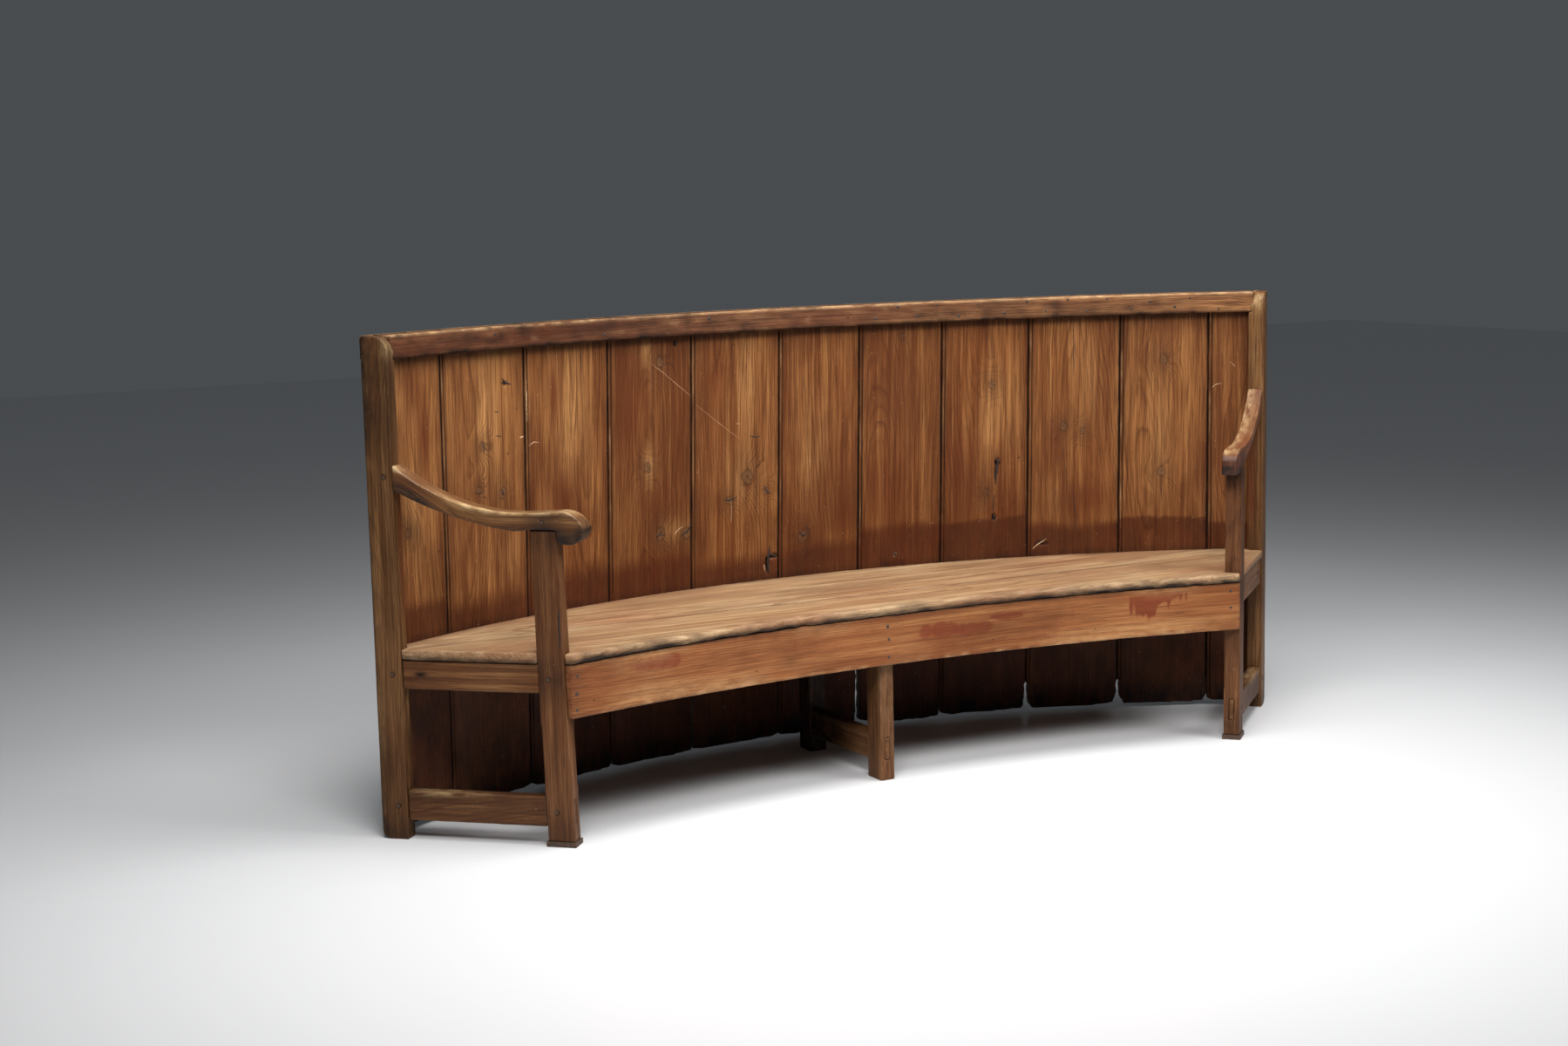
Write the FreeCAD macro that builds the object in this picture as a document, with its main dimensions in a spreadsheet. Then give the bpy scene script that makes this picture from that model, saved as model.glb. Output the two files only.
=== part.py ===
import FreeCAD, Part
import math
import os
import Sketcher

# A bow-backed bench: two splayed end frames, a curved seat with its apron, a frame
# in the middle, and eleven upright boards between two bent top rails.
# Millimetres. X runs along the bench, Y to its back, Z up from the floor.

os.makedirs("parts", exist_ok=True)
doc = FreeCAD.newDocument("Bench")
sheet = doc.addObject("Spreadsheet::Sheet", "Sizes")

DRIVING = {
    # plan of the back: a chord between the end frames and its bow at two heights
    "half_span": 1308.0,
    "foot_bow": 385.4,
    "top_bow": 321.4,
    "tall": 1186.0,
    "frame_toe": 47.7,
    # end frames, measured forwards from the back face of the stile
    "back_line": 24.0,
    "stile_deep": 67.0,
    "stile_thick": 44.0,
    "stile_round": 36.0,
    "stile_heel": 22.0,
    "post_set": 415.0,
    "post_deep": 66.0,
    "post_thick": 43.0,
    "post_lean": 0.027,
    "pad_tall": 12.0,
    "pad_lip": 3.0,
    # rails of the frames
    "rail_thick": 34.0,
    "rail_inset": 5.0,
    "rail_tall": 70.0,
    "stretcher_foot": 45.0,
    "stretcher_tall": 72.0,
    "tenon_thick": 14.0,
    "tenon_inset": 15.0,
    "tenon_shoulder": 7.0,
    "tenon_long": 42.0,
    "peg_round": 5.0,
    "peg_back": 24.0,
    # left arm
    "arm_wide": 56.0,
    "arm_overhang": 5.0,
    "arm_dip_set": 380.0,
    "arm_dip_top": 780.0,
    "arm_dip_thick": 42.0,
    "arm_post_thick": 38.0,
    "arm_back_rise": 109.0,
    "arm_back_thick": 59.0,
    "arm_nose_reach": 69.0,
    "arm_nose_rise": 4.0,
    "arm_nose_thick": 76.0,
    "arm_nose_point": 40.0,
    "arm_chin_reach": 40.0,
    "arm_throat": 20.0,
    "arm_top_sweep": 504.0,
    "arm_foot_sweep": 900.0,
    "arm_crown_round": 62.0,
    "arm_tip_round": 38.5,
    "arm_chin_round": 30.0,
    "arm_tenon_long": 30.0,
    # right arm: narrower, higher at its back, and square under its nose
    "right_arm_wide": 41.0,
    "right_arm_overhang": -2.5,
    "right_arm_dip_top": 790.0,
    "right_arm_back_rise": 125.0,
    "right_arm_nose_fall": 1.0,
    "right_arm_nose_thick": 66.0,
    "right_arm_nose_reach": 65.0,
    "right_arm_crown_reach": 47.0,
    "right_arm_crown_fall": 11.0,
    "right_arm_tip_fall": 34.0,
    "right_arm_top_sweep": 460.0,
    "right_arm_foot_sweep": 2000.0,
    "right_arm_crown_round": 110.0,
    "right_arm_tip_round": 22.0,
    # seat and apron
    "seat_top": 456.0,
    "seat_thick": 26.0,
    "seat_seam": -10.0,
    "nose_lip": 5.0,
    "nose_round": 8.0,
    "apron_half": 978.7,
    "apron_end_set": 313.9,
    "apron_bow": 124.5,
    "apron_tall": 127.0,
    "apron_thick": 25.0,
    # middle frame
    "middle_left": -65.0,
    "front_leg_wide": 41.0,
    "front_leg_deep": 68.0,
    "back_leg_wide": 50.0,
    "back_leg_deep": 62.0,
    "middle_gap": 307.0,
    # back boards and top rails
    "board_thick": 20.0,
    "board_edge_inset": 34.0,
    "groove_wall": 3.0,
    "tongue_thick": 6.0,
    "tongue_long": 7.0,
    "tongue_set": 7.0,
    "bead_round": 4.0,
    "bead_quirk": 2.0,
    "groove_room": 1.4,
    "top_rail_tall": 57.0,
    "front_rail_thick": 23.4,
    "rear_rail_thick": 22.0,
    "rear_rail_inset": 22.0,
    "rail_end_inset": 31.0,
    # clearances
    "fit": 0.3,
    "joint_room": 0.2,
    "tenon_short": 1.0,
    "outer_edge_gap": 1.0,
}

# width of each board at seat height; together they share out the curve between the stiles
BOARD_WIDTHS = [195.0, 270.5, 266.9, 263.8, 273.1, 246.0, 250.9, 259.8, 268.7, 256.2, 128.9]
# height of each board's worn foot above the floor
BOARD_FEET = [16.0, 14.0, 9.0, 8.0, 9.0, 8.0, 8.0, 10.0, 8.0, 9.0, 10.0]
# width and top of the gap that decay has opened low in each seam
DECAY_GAPS = [1.2, 4.0, 3.5, 6.0, 1.2, 9.0, 5.0, 20.0, 14.0, 4.0]
DECAY_TOPS = [60.0, 139.0, 145.0, 158.0, 60.0, 210.0, 60.0, 88.0, 84.0, 32.0]

for number, width in enumerate(BOARD_WIDTHS, 1):
    DRIVING["board_wide_%02d" % number] = width
for number, height in enumerate(BOARD_FEET, 1):
    DRIVING["board_foot_%02d" % number] = height
for number, width in enumerate(DECAY_GAPS, 1):
    DRIVING["decay_gap_%02d" % number] = width
    DRIVING["decay_top_%02d" % number] = DECAY_TOPS[number - 1]

for row, (name, number) in enumerate(DRIVING.items(), 1):
    sheet.set("A%d" % row, name)
    sheet.set("B%d" % row, str(number))
    sheet.setAlias("B%d" % row, name)
doc.recompute()


class Size:
    """A length or ratio that carries both its formula and its present number."""

    def __init__(self, text, number):
        self.text = text
        self.number = number

    def combine(self, other, sign, number):
        return Size("(%s %s %s)" % (self.text, sign, other.text), number)

    def __add__(self, other):
        other = as_size(other)
        return self.combine(other, "+", self.number + other.number)

    def __sub__(self, other):
        other = as_size(other)
        return self.combine(other, "-", self.number - other.number)

    def __mul__(self, other):
        other = as_size(other)
        return self.combine(other, "*", self.number * other.number)

    def __truediv__(self, other):
        other = as_size(other)
        return self.combine(other, "/", self.number / other.number)

    def __neg__(self):
        return Size("(0 - %s)" % self.text, -self.number)

    def __radd__(self, other):
        return as_size(other) + self

    def __rsub__(self, other):
        return as_size(other) - self

    def __rmul__(self, other):
        return as_size(other) * self


def as_size(value):
    if isinstance(value, Size):
        return value
    if value < 0:
        return Size("(0 - %s)" % repr(float(-value)), float(value))
    return Size(repr(float(value)), float(value))


def cell(name):
    return Size("Sizes." + name, DRIVING[name])


def sin_of(angle):
    return Size("sin(%s)" % angle.text, math.sin(math.radians(angle.number)))


def cos_of(angle):
    return Size("cos(%s)" % angle.text, math.cos(math.radians(angle.number)))


def tan_of(angle):
    return Size("tan(%s)" % angle.text, math.tan(math.radians(angle.number)))


def arc_sine(ratio):
    return Size("(asin(%s) / 1 deg)" % ratio.text, math.degrees(math.asin(ratio.number)))


# how far a cutting outline runs past the wood that it cuts
PAST = 5.0
# a corner's arc has a radius a little over its reach, and so turns a little less than square
CORNER = 1.02
# a bead stands a little lower than its half width
BEAD_RISE = 0.8
# a peg stands at this share of the height of the post's upper tenon
PEG_SHARE = 0.6

# Plan geometry shared by the pieces

half_span = cell("half_span")
toe = cell("frame_toe")
tall = cell("tall")
fit = cell("fit")
seat_top = cell("seat_top")
seat_foot = seat_top - cell("seat_thick")
rail_foot = seat_foot - cell("rail_tall")
stretcher_foot = cell("stretcher_foot")
stretcher_top = stretcher_foot + cell("stretcher_tall")
apron_foot = seat_foot - cell("apron_tall")
top_rail_foot = tall - cell("top_rail_tall")
board_thick = cell("board_thick")

# the chord stands so that the whole bench is centred on the origin
arm_dip_top = cell("arm_dip_top")
arm_dip_foot = arm_dip_top - cell("arm_dip_thick")
arm_seat = arm_dip_top - cell("arm_post_thick")
arm_back_top = arm_dip_top + cell("arm_back_rise")
arm_back_foot = arm_back_top - cell("arm_back_thick")
arm_nose_top = arm_dip_top + cell("arm_nose_rise")
arm_nose_mid = arm_nose_top - cell("arm_nose_point")
arm_nose_foot = arm_nose_top - cell("arm_nose_thick")
nose_reach = cell("post_set") + cell("post_deep") + cell("arm_nose_reach") - cell("back_line")
front_reach = (nose_reach - cell("post_lean") * arm_nose_mid) * cos_of(toe) \
    + cell("arm_overhang") * sin_of(toe)
rear_reach = cell("foot_bow") + board_thick
chord = (front_reach - rear_reach) / 2.0


def bow_at(height):
    return cell("foot_bow") + (cell("top_bow") - cell("foot_bow")) * height / tall


class PlanArc:
    """The curve of the back's front face at one height."""

    def __init__(self, bow):
        self.radius = (half_span * half_span + bow * bow) / (2.0 * bow)
        self.centre = chord + bow - self.radius
        self.half_angle = arc_sine(half_span / self.radius)


seat_arc = PlanArc(bow_at(seat_top))
foot_arc = PlanArc(cell("foot_bow"))
top_arc = PlanArc(cell("top_bow"))
rail_foot_arc = PlanArc(bow_at(top_rail_foot))
arc_length = 2.0 * seat_arc.half_angle * seat_arc.radius * (math.pi / 180.0)

# flat boards bulge inside the true curve by the sagitta of the widest one
widest = cell("board_wide_%02d" % (1 + BOARD_WIDTHS.index(max(BOARD_WIDTHS))))
seat_edge_radius = seat_arc.radius - widest * widest / (8.0 * seat_arc.radius) - fit
top_edge_radius = top_arc.radius - widest * widest / (8.0 * top_arc.radius) - fit

# apron curve: its ends stand in front of the chord by apron_end_set
apron_bow = cell("apron_bow")
apron_radius = (cell("apron_half") * cell("apron_half") + apron_bow * apron_bow) / (2.0 * apron_bow)
apron_centre = chord - cell("apron_end_set") + apron_bow - apron_radius


# Small builders

def origin_plane(body, role):
    for feature in body.Origin.OriginFeatures:
        if feature.Role == role:
            return feature
    raise ValueError(role)


def bind(item, path, value):
    item.setExpression(path, as_size(value).text)


def draw_outline(sketch, path):
    """Closed outline: vertices (x, y), or (x, y, radius, turn) when the next side is an arc."""
    vertices = [(as_size(entry[0]), as_size(entry[1])) for entry in path]
    count = len(path)
    starts = []
    for number in range(count):
        here = vertices[number]
        there = vertices[(number + 1) % count]
        first = FreeCAD.Vector(here[0].number, here[1].number, 0)
        last = FreeCAD.Vector(there[0].number, there[1].number, 0)
        if len(path[number]) == 2:
            sketch.addGeometry(Part.LineSegment(first, last), False)
            starts.append((1, 2))
            continue
        radius = as_size(path[number][2])
        middle = (first + last) * 0.5
        along = last - first
        half = along.Length / 2.0
        rise = radius.number - math.sqrt(radius.number ** 2 - half ** 2)
        turn = path[number][3]
        bulge = middle + FreeCAD.Vector(along.y, -along.x, 0).normalize() * (turn * rise)
        # an arc in a sketch always runs anticlockwise
        if turn > 0:
            index = sketch.addGeometry(Part.Arc(first, bulge, last), False)
            starts.append((1, 2))
        else:
            index = sketch.addGeometry(Part.Arc(last, bulge, first), False)
            starts.append((2, 1))
        mark = sketch.addConstraint(Sketcher.Constraint("Radius", index, radius.number))
        bind(sketch, "Constraints[%d]" % mark, radius)
    for number in range(count):
        following = (number + 1) % count
        sketch.addConstraint(Sketcher.Constraint(
            "Coincident", number, starts[number][1], following, starts[following][0]))
    for number, (across, up) in enumerate(vertices):
        for kind, value in (("DistanceX", across), ("DistanceY", up)):
            mark = sketch.addConstraint(Sketcher.Constraint(
                kind, -1, 1, number, starts[number][0], value.number))
            bind(sketch, "Constraints[%d]" % mark, value)


def new_sketch(body, name, role):
    sketch = body.newObject("Sketcher::SketchObject", name)
    sketch.AttachmentSupport = [(origin_plane(body, role), "")]
    sketch.MapMode = "FlatFace"
    return sketch


def new_body(name):
    return doc.addObject("PartDesign::Body", name)


def upright_prism(name, path, low, high):
    """A prism with its outline in plan, from one height to another."""
    body = new_body(name)
    sketch = new_sketch(body, name + "_outline", "XY_Plane")
    bind(sketch, "AttachmentOffset.Base.z", low)
    draw_outline(sketch, path)
    pad = body.newObject("PartDesign::Pad", name + "_pad")
    pad.Profile = sketch
    bind(pad, "Length", as_size(high) - low)
    return body


def turn_axis(degrees):
    return FreeCAD.Vector(math.cos(math.radians(degrees)), math.sin(math.radians(degrees)), 0)


class Frame:
    """One end frame: x forwards from the stile's back, y inwards from its outer face."""

    def __init__(self, name, side):
        self.name = name
        self.side = side

    def place(self, body):
        set_back = cell("back_line")
        bind(body, "Placement.Base.x", self.side * (half_span + set_back * sin_of(toe)))
        bind(body, "Placement.Base.y", chord + set_back * cos_of(toe))
        turn = -90.0 - self.side * toe
        body.Placement = FreeCAD.Placement(
            FreeCAD.Vector(0, 0, 0), FreeCAD.Rotation(FreeCAD.Vector(0, 0, 1), turn.number))
        bind(body, "Placement.Rotation.Angle", turn)

    def board(self, name, path, near, far):
        """A piece sawn to a side outline, from one depth inwards to another."""
        body = new_body(self.name + "_" + name)
        sketch = new_sketch(body, body.Name + "_side", "XZ_Plane")
        bind(sketch, "AttachmentOffset.Base.z", self.side * as_size(near))
        draw_outline(sketch, path)
        pad = body.newObject("PartDesign::Pad", body.Name + "_pad")
        pad.Profile = sketch
        pad.Reversed = self.side < 0
        bind(pad, "Length", as_size(far) - near)
        self.place(body)
        return body

    def plan_loft(self, name, low_path, low, high_path, high):
        """A block whose plan outline changes evenly from one height to another."""
        body = new_body(self.name + "_" + name)
        sections = []
        for number, (path, height) in enumerate(((low_path, low), (high_path, high))):
            sketch = new_sketch(body, "%s_plan_%d" % (body.Name, number), "XY_Plane")
            bind(sketch, "AttachmentOffset.Base.z", height)
            draw_outline(sketch, [(ahead, -self.side * as_size(inward)) for ahead, inward in path])
            sections.append(sketch)
        loft = body.newObject("PartDesign::AdditiveLoft", body.Name + "_loft")
        loft.Profile = sections[0]
        loft.Sections = sections[1:]
        loft.Ruled = True
        self.place(body)
        return body

    def add_to(self, body, name, path, near, far, cut):
        """A tenon on, or a mortise in, a piece of this frame."""
        sketch = new_sketch(body, body.Name + "_" + name, "XZ_Plane")
        bind(sketch, "AttachmentOffset.Base.z", self.side * as_size(near))
        draw_outline(sketch, path)
        kind = "PartDesign::Pocket" if cut else "PartDesign::Pad"
        feature = body.newObject(kind, body.Name + "_" + name + "_feature")
        feature.Profile = sketch
        feature.Reversed = (self.side > 0) if cut else (self.side < 0)
        bind(feature, "Length", as_size(far) - near)


def box_path(left, low, right, high):
    return [(left, low), (right, low), (right, high), (left, high)]


def cylinder(name, radius, low, high, across, back):
    item = doc.addObject("Part::Cylinder", name)
    bind(item, "Radius", radius)
    bind(item, "Height", as_size(high) - low)
    bind(item, "Placement.Base.x", across)
    bind(item, "Placement.Base.y", back)
    bind(item, "Placement.Base.z", low)
    return item


def combine(kind, name, base, tool):
    item = doc.addObject("Part::" + kind, name)
    item.Base = base
    item.Tool = tool
    return item


def plan_between(name, inset, low, high):
    """The space between the two end frames, inset from their outer faces."""
    inset = as_size(inset)

    def corner(side, depth):
        across = side * (half_span - depth * sin_of(toe) - inset * cos_of(toe))
        return (across, chord - depth * cos_of(toe) + inset * sin_of(toe))

    reach = half_span / 2.0
    path = [corner(-1, reach), corner(1, reach), corner(1, -1.0 * reach), corner(-1, -1.0 * reach)]
    return upright_prism(name, path, low, high)


NODES = {}


def keep(node, item):
    item.Label = node
    NODES[node] = item


# Outlines of the end frame's pieces

stile_deep = cell("stile_deep")
post_thick = cell("post_thick")
stile_thick = cell("stile_thick")
joint_room = cell("joint_room")
rail_near = cell("rail_inset")
rail_far = cell("rail_inset") + cell("rail_thick")
tenon_near = cell("tenon_inset")
tenon_far = cell("tenon_inset") + cell("tenon_thick")
shoulder = cell("tenon_shoulder")


def post_back(height):
    return cell("post_set") - cell("post_lean") * height


def post_front(height):
    return post_back(height) + cell("post_deep")


tenon_top = arm_seat + cell("arm_tenon_long")
post_tenon_low = post_back(arm_seat) + shoulder
post_tenon_high = post_front(arm_seat) - shoulder


def crossing(arc, inward, behind):
    """How far forwards a line parallel to the boards, and behind their face, meets the frame."""
    skew = toe - arc.half_angle
    return cell("back_line") + as_size(inward) * tan_of(skew) - as_size(behind) / cos_of(skew)


def skew_quad(arc, near, far, front_behind, back_behind):
    return [(crossing(arc, near, back_behind), near), (crossing(arc, near, front_behind), near),
            (crossing(arc, far, front_behind), far), (crossing(arc, far, back_behind), far)]


def groove_tool(frame):
    """The groove in a stile's inner face that holds the outermost board."""
    near = cell("board_edge_inset") - cell("groove_wall")
    far = stile_thick + PAST
    room = cell("groove_room")
    return frame.plan_loft(
        "board_groove",
        skew_quad(foot_arc, near, far, -1.0 * room, board_thick + room), -1.0 * PAST,
        skew_quad(top_arc, near, far, -1.0 * room, board_thick + room), tall + PAST)


def rail_housing(frame):
    """The housing, open at the top, that takes the end of the front top rail."""
    near = cell("rail_end_inset") - joint_room
    far = stile_thick + PAST
    reach = cell("front_rail_thick") + (top_arc.radius - top_edge_radius) + joint_room * 2.0
    path = skew_quad(top_arc, near, far, -1.0 * reach, 1.0)
    return frame.plan_loft("rail_housing", path, top_rail_foot - joint_room, path, tall + PAST)


def rear_notch(frame):
    """The notch in a stile's back corner that takes the end of the rear top rail."""
    near = cell("rear_rail_inset") - joint_room
    far = stile_thick + PAST
    path = skew_quad(top_arc, near, far, board_thick - joint_room, board_thick * 4.0)
    return frame.plan_loft("rear_notch", path, top_rail_foot - joint_room, path, tall + PAST)


def arm_shape(frame):
    """The side outline and heights of a frame's arm: each arm was shaped by eye."""
    nose_set = post_front(arm_seat)
    throat = cell("arm_throat")
    dip = cell("arm_dip_set")
    post = [(nose_set, arm_seat), (post_back(arm_seat), arm_seat)]
    if frame is left:
        reach = nose_set + cell("arm_nose_reach")
        return {
            "wide": cell("arm_wide"),
            "overhang": cell("arm_overhang"),
            "back_top": arm_back_top,
            "back_foot": arm_back_foot,
            "outline": [
                (stile_deep, arm_back_top, cell("arm_top_sweep"), 1),
                (dip, arm_dip_top),
                (nose_set, arm_nose_top, cell("arm_crown_round"), -1),
                (reach, arm_nose_mid, cell("arm_tip_round"), -1),
                (reach - cell("arm_chin_reach"), arm_nose_foot, cell("arm_chin_round"), -1),
                (nose_set, arm_seat - throat),
            ] + post + [
                (dip - throat, arm_dip_foot, cell("arm_foot_sweep"), -1),
                (stile_deep, arm_back_foot),
            ],
        }
    dip_top = cell("right_arm_dip_top")
    dip_foot = dip_top - cell("arm_dip_thick")
    back_top = dip_top + cell("right_arm_back_rise")
    back_foot = back_top - cell("arm_back_thick")
    nose_top = dip_top - cell("right_arm_nose_fall")
    nose_foot = nose_top - cell("right_arm_nose_thick")
    reach = nose_set + cell("right_arm_nose_reach")
    return {
        "wide": cell("right_arm_wide"),
        "overhang": cell("right_arm_overhang"),
        "back_top": back_top,
        "back_foot": back_foot,
        "outline": [
            (stile_deep, back_top, cell("right_arm_top_sweep"), 1),
            (dip, dip_top),
            (nose_set, nose_top, cell("right_arm_crown_round"), -1),
            (nose_set + cell("right_arm_crown_reach"), nose_top - cell("right_arm_crown_fall"),
             cell("right_arm_tip_round"), -1),
            (reach, nose_top - cell("right_arm_tip_fall")),
            (reach, nose_foot),
            (nose_set, nose_foot),
        ] + post + [
            (dip - throat, dip_foot, cell("right_arm_foot_sweep"), -1),
            (stile_deep, back_foot),
        ],
    }


def build_frame(frame):
    # pegs: forwards set, height, and how far their outer end stands off the frame's face
    arm = arm_shape(frame)
    joint_mid = (arm["back_top"] + arm["back_foot"]) / 2.0
    rail_mid = (rail_foot + seat_foot) / 2.0
    stretcher_mid = (stretcher_foot + stretcher_top) / 2.0
    behind = stile_deep - cell("peg_back")
    pegs = [
        ("arm", behind, joint_mid, 0.0),
        ("arm_post", (post_tenon_low + post_tenon_high) / 2.0,
         arm_seat + cell("arm_tenon_long") * PEG_SHARE, arm["overhang"]),
        ("rail_back", behind, rail_mid, 0.0),
        ("rail_front", post_back(rail_foot) + cell("peg_back"), rail_mid, 0.0),
        ("stretcher_back", behind, stretcher_mid, 0.0),
        ("stretcher_front", post_back(stretcher_foot) + cell("peg_back"), stretcher_mid, 0.0),
    ]

    def peg_set(name, room, reach):
        members = []
        for peg, ahead, up, proud in pegs:
            item = doc.addObject("Part::Cylinder", "%s_%s_%s" % (frame.name, name, peg))
            bind(item, "Radius", cell("peg_round") + room)
            bind(item, "Height", post_thick + proud + 2.0 * as_size(reach))
            inward = -1.0 * (as_size(proud) + reach)
            start = ahead - cell("back_line")
            across = frame.side * (half_span - start * sin_of(toe) - inward * cos_of(toe))
            back = chord - start * cos_of(toe) + inward * sin_of(toe)
            bind(item, "Placement.Base.x", across)
            bind(item, "Placement.Base.y", back)
            bind(item, "Placement.Base.z", up)
            # the peg lies flat and points inwards, square to the frame
            turn = -1.0 * frame.side * (90.0 + toe)
            item.Placement.Rotation = FreeCAD.Rotation(turn_axis(turn.number), 90.0)
            bind(item, "Placement.Rotation.Axis.x", cos_of(turn))
            bind(item, "Placement.Rotation.Axis.y", sin_of(turn))
            members.append(item)
        group = doc.addObject("Part::Compound", "%s_%s" % (frame.name, name))
        group.Links = members
        return group

    peg_holes = peg_set("peg_hole", joint_room, PAST)
    keep(frame.name + "_pegs", peg_set("peg", 0.0, 0.0))

    # end stile
    heel = cell("stile_heel")
    rounding = cell("stile_round")
    stile = frame.board("stile_body", [
        (heel, 0.0),
        (stile_deep, 0.0),
        (stile_deep, tall - rounding, rounding * CORNER, 1),
        (stile_deep - rounding, tall),
        (0.0, tall),
        (0.0, heel, heel * CORNER, 1),
    ], 0.0, stile_thick)
    mortise = cell("tenon_long") + joint_room
    frame.add_to(stile, "rail_mortise", box_path(
        stile_deep - mortise, rail_foot + shoulder - joint_room, stile_deep + PAST,
        seat_foot - shoulder + joint_room), tenon_near - joint_room, tenon_far + joint_room, True)
    frame.add_to(stile, "stretcher_mortise", box_path(
        stile_deep - mortise, stretcher_foot + shoulder - joint_room, stile_deep + PAST,
        stretcher_top - shoulder + joint_room), tenon_near - joint_room, tenon_far + joint_room, True)
    frame.add_to(stile, "arm_mortise", box_path(
        stile_deep - mortise, arm["back_foot"] + shoulder - joint_room, stile_deep + PAST,
        arm["back_top"] - shoulder + joint_room), tenon_near - joint_room,
        tenon_far + joint_room, True)
    board_room = groove_tool(frame)
    rail_room = rail_housing(frame)
    rear_room = rear_notch(frame)
    fitted = stile
    for name, tool in (("grooved", board_room), ("housed", rail_room), ("notched", rear_room),
                       ("drilled", peg_holes)):
        fitted = combine("Cut", "%s_stile_%s" % (frame.name, name), fitted, tool)
    keep(frame.name + "_stile", fitted)

    # front post, standing on its pad
    pad_tall = cell("pad_tall")
    post = frame.board("post_body", [
        (post_back(pad_tall), pad_tall),
        (post_front(pad_tall), pad_tall),
        (post_front(arm_seat), arm_seat),
        (post_tenon_high, arm_seat),
        (post_tenon_high, tenon_top),
        (post_tenon_low, tenon_top),
        (post_tenon_low, arm_seat),
        (post_back(arm_seat), arm_seat),
    ], 0.0, post_thick)
    frame.add_to(post, "outer_cheek", box_path(
        post_back(arm_seat) - PAST, arm_seat, post_front(arm_seat) + PAST, tenon_top + PAST),
        -1.0 * PAST, tenon_near, True)
    frame.add_to(post, "inner_cheek", box_path(
        post_back(arm_seat) - PAST, arm_seat, post_front(arm_seat) + PAST, tenon_top + PAST),
        tenon_far, post_thick + PAST, True)
    frame.add_to(post, "rail_mortise", box_path(
        post_back(rail_foot) - 2.0 * PAST, rail_foot + shoulder - joint_room,
        post_back(rail_foot) + mortise, seat_foot - shoulder + joint_room),
        tenon_near - joint_room, tenon_far + joint_room, True)
    frame.add_to(post, "stretcher_mortise", box_path(
        post_back(stretcher_foot) - 2.0 * PAST, stretcher_foot + shoulder - joint_room,
        post_front(stretcher_foot) + 2.0 * PAST, stretcher_top - shoulder + joint_room),
        tenon_near - joint_room, tenon_far + joint_room, True)
    keep(frame.name + "_front_post", combine("Cut", frame.name + "_post_drilled", post, peg_holes))

    lip = cell("pad_lip")
    pad = frame.board("pad_body", box_path(
        post_back(pad_tall) - lip, 0.0, post_front(pad_tall) + lip, pad_tall),
        -1.0 * lip, post_thick + lip)
    keep(frame.name + "_foot_pad", pad)

    # rails of the frame
    def frame_rail(name, low, high, through):
        body = frame.board(name + "_body", [
            (stile_deep, low), (post_back(low), low), (post_back(high), high), (stile_deep, high),
        ], rail_near, rail_far)
        reach = post_back(low) + cell("tenon_long")
        high_reach = reach
        if through:
            reach = post_front(low + shoulder) - cell("tenon_short")
            high_reach = post_front(high - shoulder) - cell("tenon_short")
        frame.add_to(body, "tenons", [
            (stile_deep - cell("tenon_long"), low + shoulder),
            (reach, low + shoulder),
            (high_reach, high - shoulder),
            (stile_deep - cell("tenon_long"), high - shoulder),
        ], tenon_near, tenon_far, False)
        return combine("Cut", frame.name + "_" + name + "_drilled", body, peg_holes)

    keep(frame.name + "_seat_rail", frame_rail("seat_rail", rail_foot, seat_foot, False))
    keep(frame.name + "_stretcher", frame_rail("stretcher", stretcher_foot, stretcher_top, True))

    # arm with its nose
    body = frame.board("arm_body", arm["outline"], -1.0 * arm["overhang"],
                       arm["wide"] - arm["overhang"])
    frame.add_to(body, "tenon", box_path(
        stile_deep - cell("tenon_long"), arm["back_foot"] + shoulder, stile_deep + fit,
        arm["back_top"] - shoulder), tenon_near, tenon_far, False)
    frame.add_to(body, "mortise", box_path(
        post_tenon_low - joint_room, arm_seat - PAST, post_tenon_high + joint_room,
        tenon_top + joint_room), tenon_near - joint_room, tenon_far + joint_room, True)
    keep(frame.name + "_arm", combine("Cut", frame.name + "_arm_drilled", body, peg_holes))


def build_apron():
    ring = combine("Cut", "apron_ring",
                   cylinder("apron_outer", apron_radius + cell("apron_thick"), apron_foot, seat_foot,
                            0.0, apron_centre),
                   cylinder("apron_inner", apron_radius, apron_foot - PAST, seat_foot + PAST,
                            0.0, apron_centre))
    plan = plan_between("apron_plan", 0.0, apron_foot - PAST, seat_foot + PAST)
    apron = combine("Common", "front_apron_cut", ring, plan)
    # each end is planed thin to lie on the slanting front of its post
    for frame in (left, right):
        post = frame.board("apron_bed", [
            (post_back(apron_foot) - PAST, apron_foot - PAST),
            (post_front(apron_foot) + fit, apron_foot - PAST),
            (post_front(seat_foot) + fit, seat_foot + PAST),
            (post_back(seat_foot) - PAST, seat_foot + PAST)], -1.0 * PAST, post_thick + fit)
        apron = combine("Cut", frame.name + "_apron_bedded", apron, post)
    return apron


left = Frame("left", -1)
right = Frame("right", 1)
keep("front_apron", build_apron())
build_frame(left)
build_frame(right)


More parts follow.
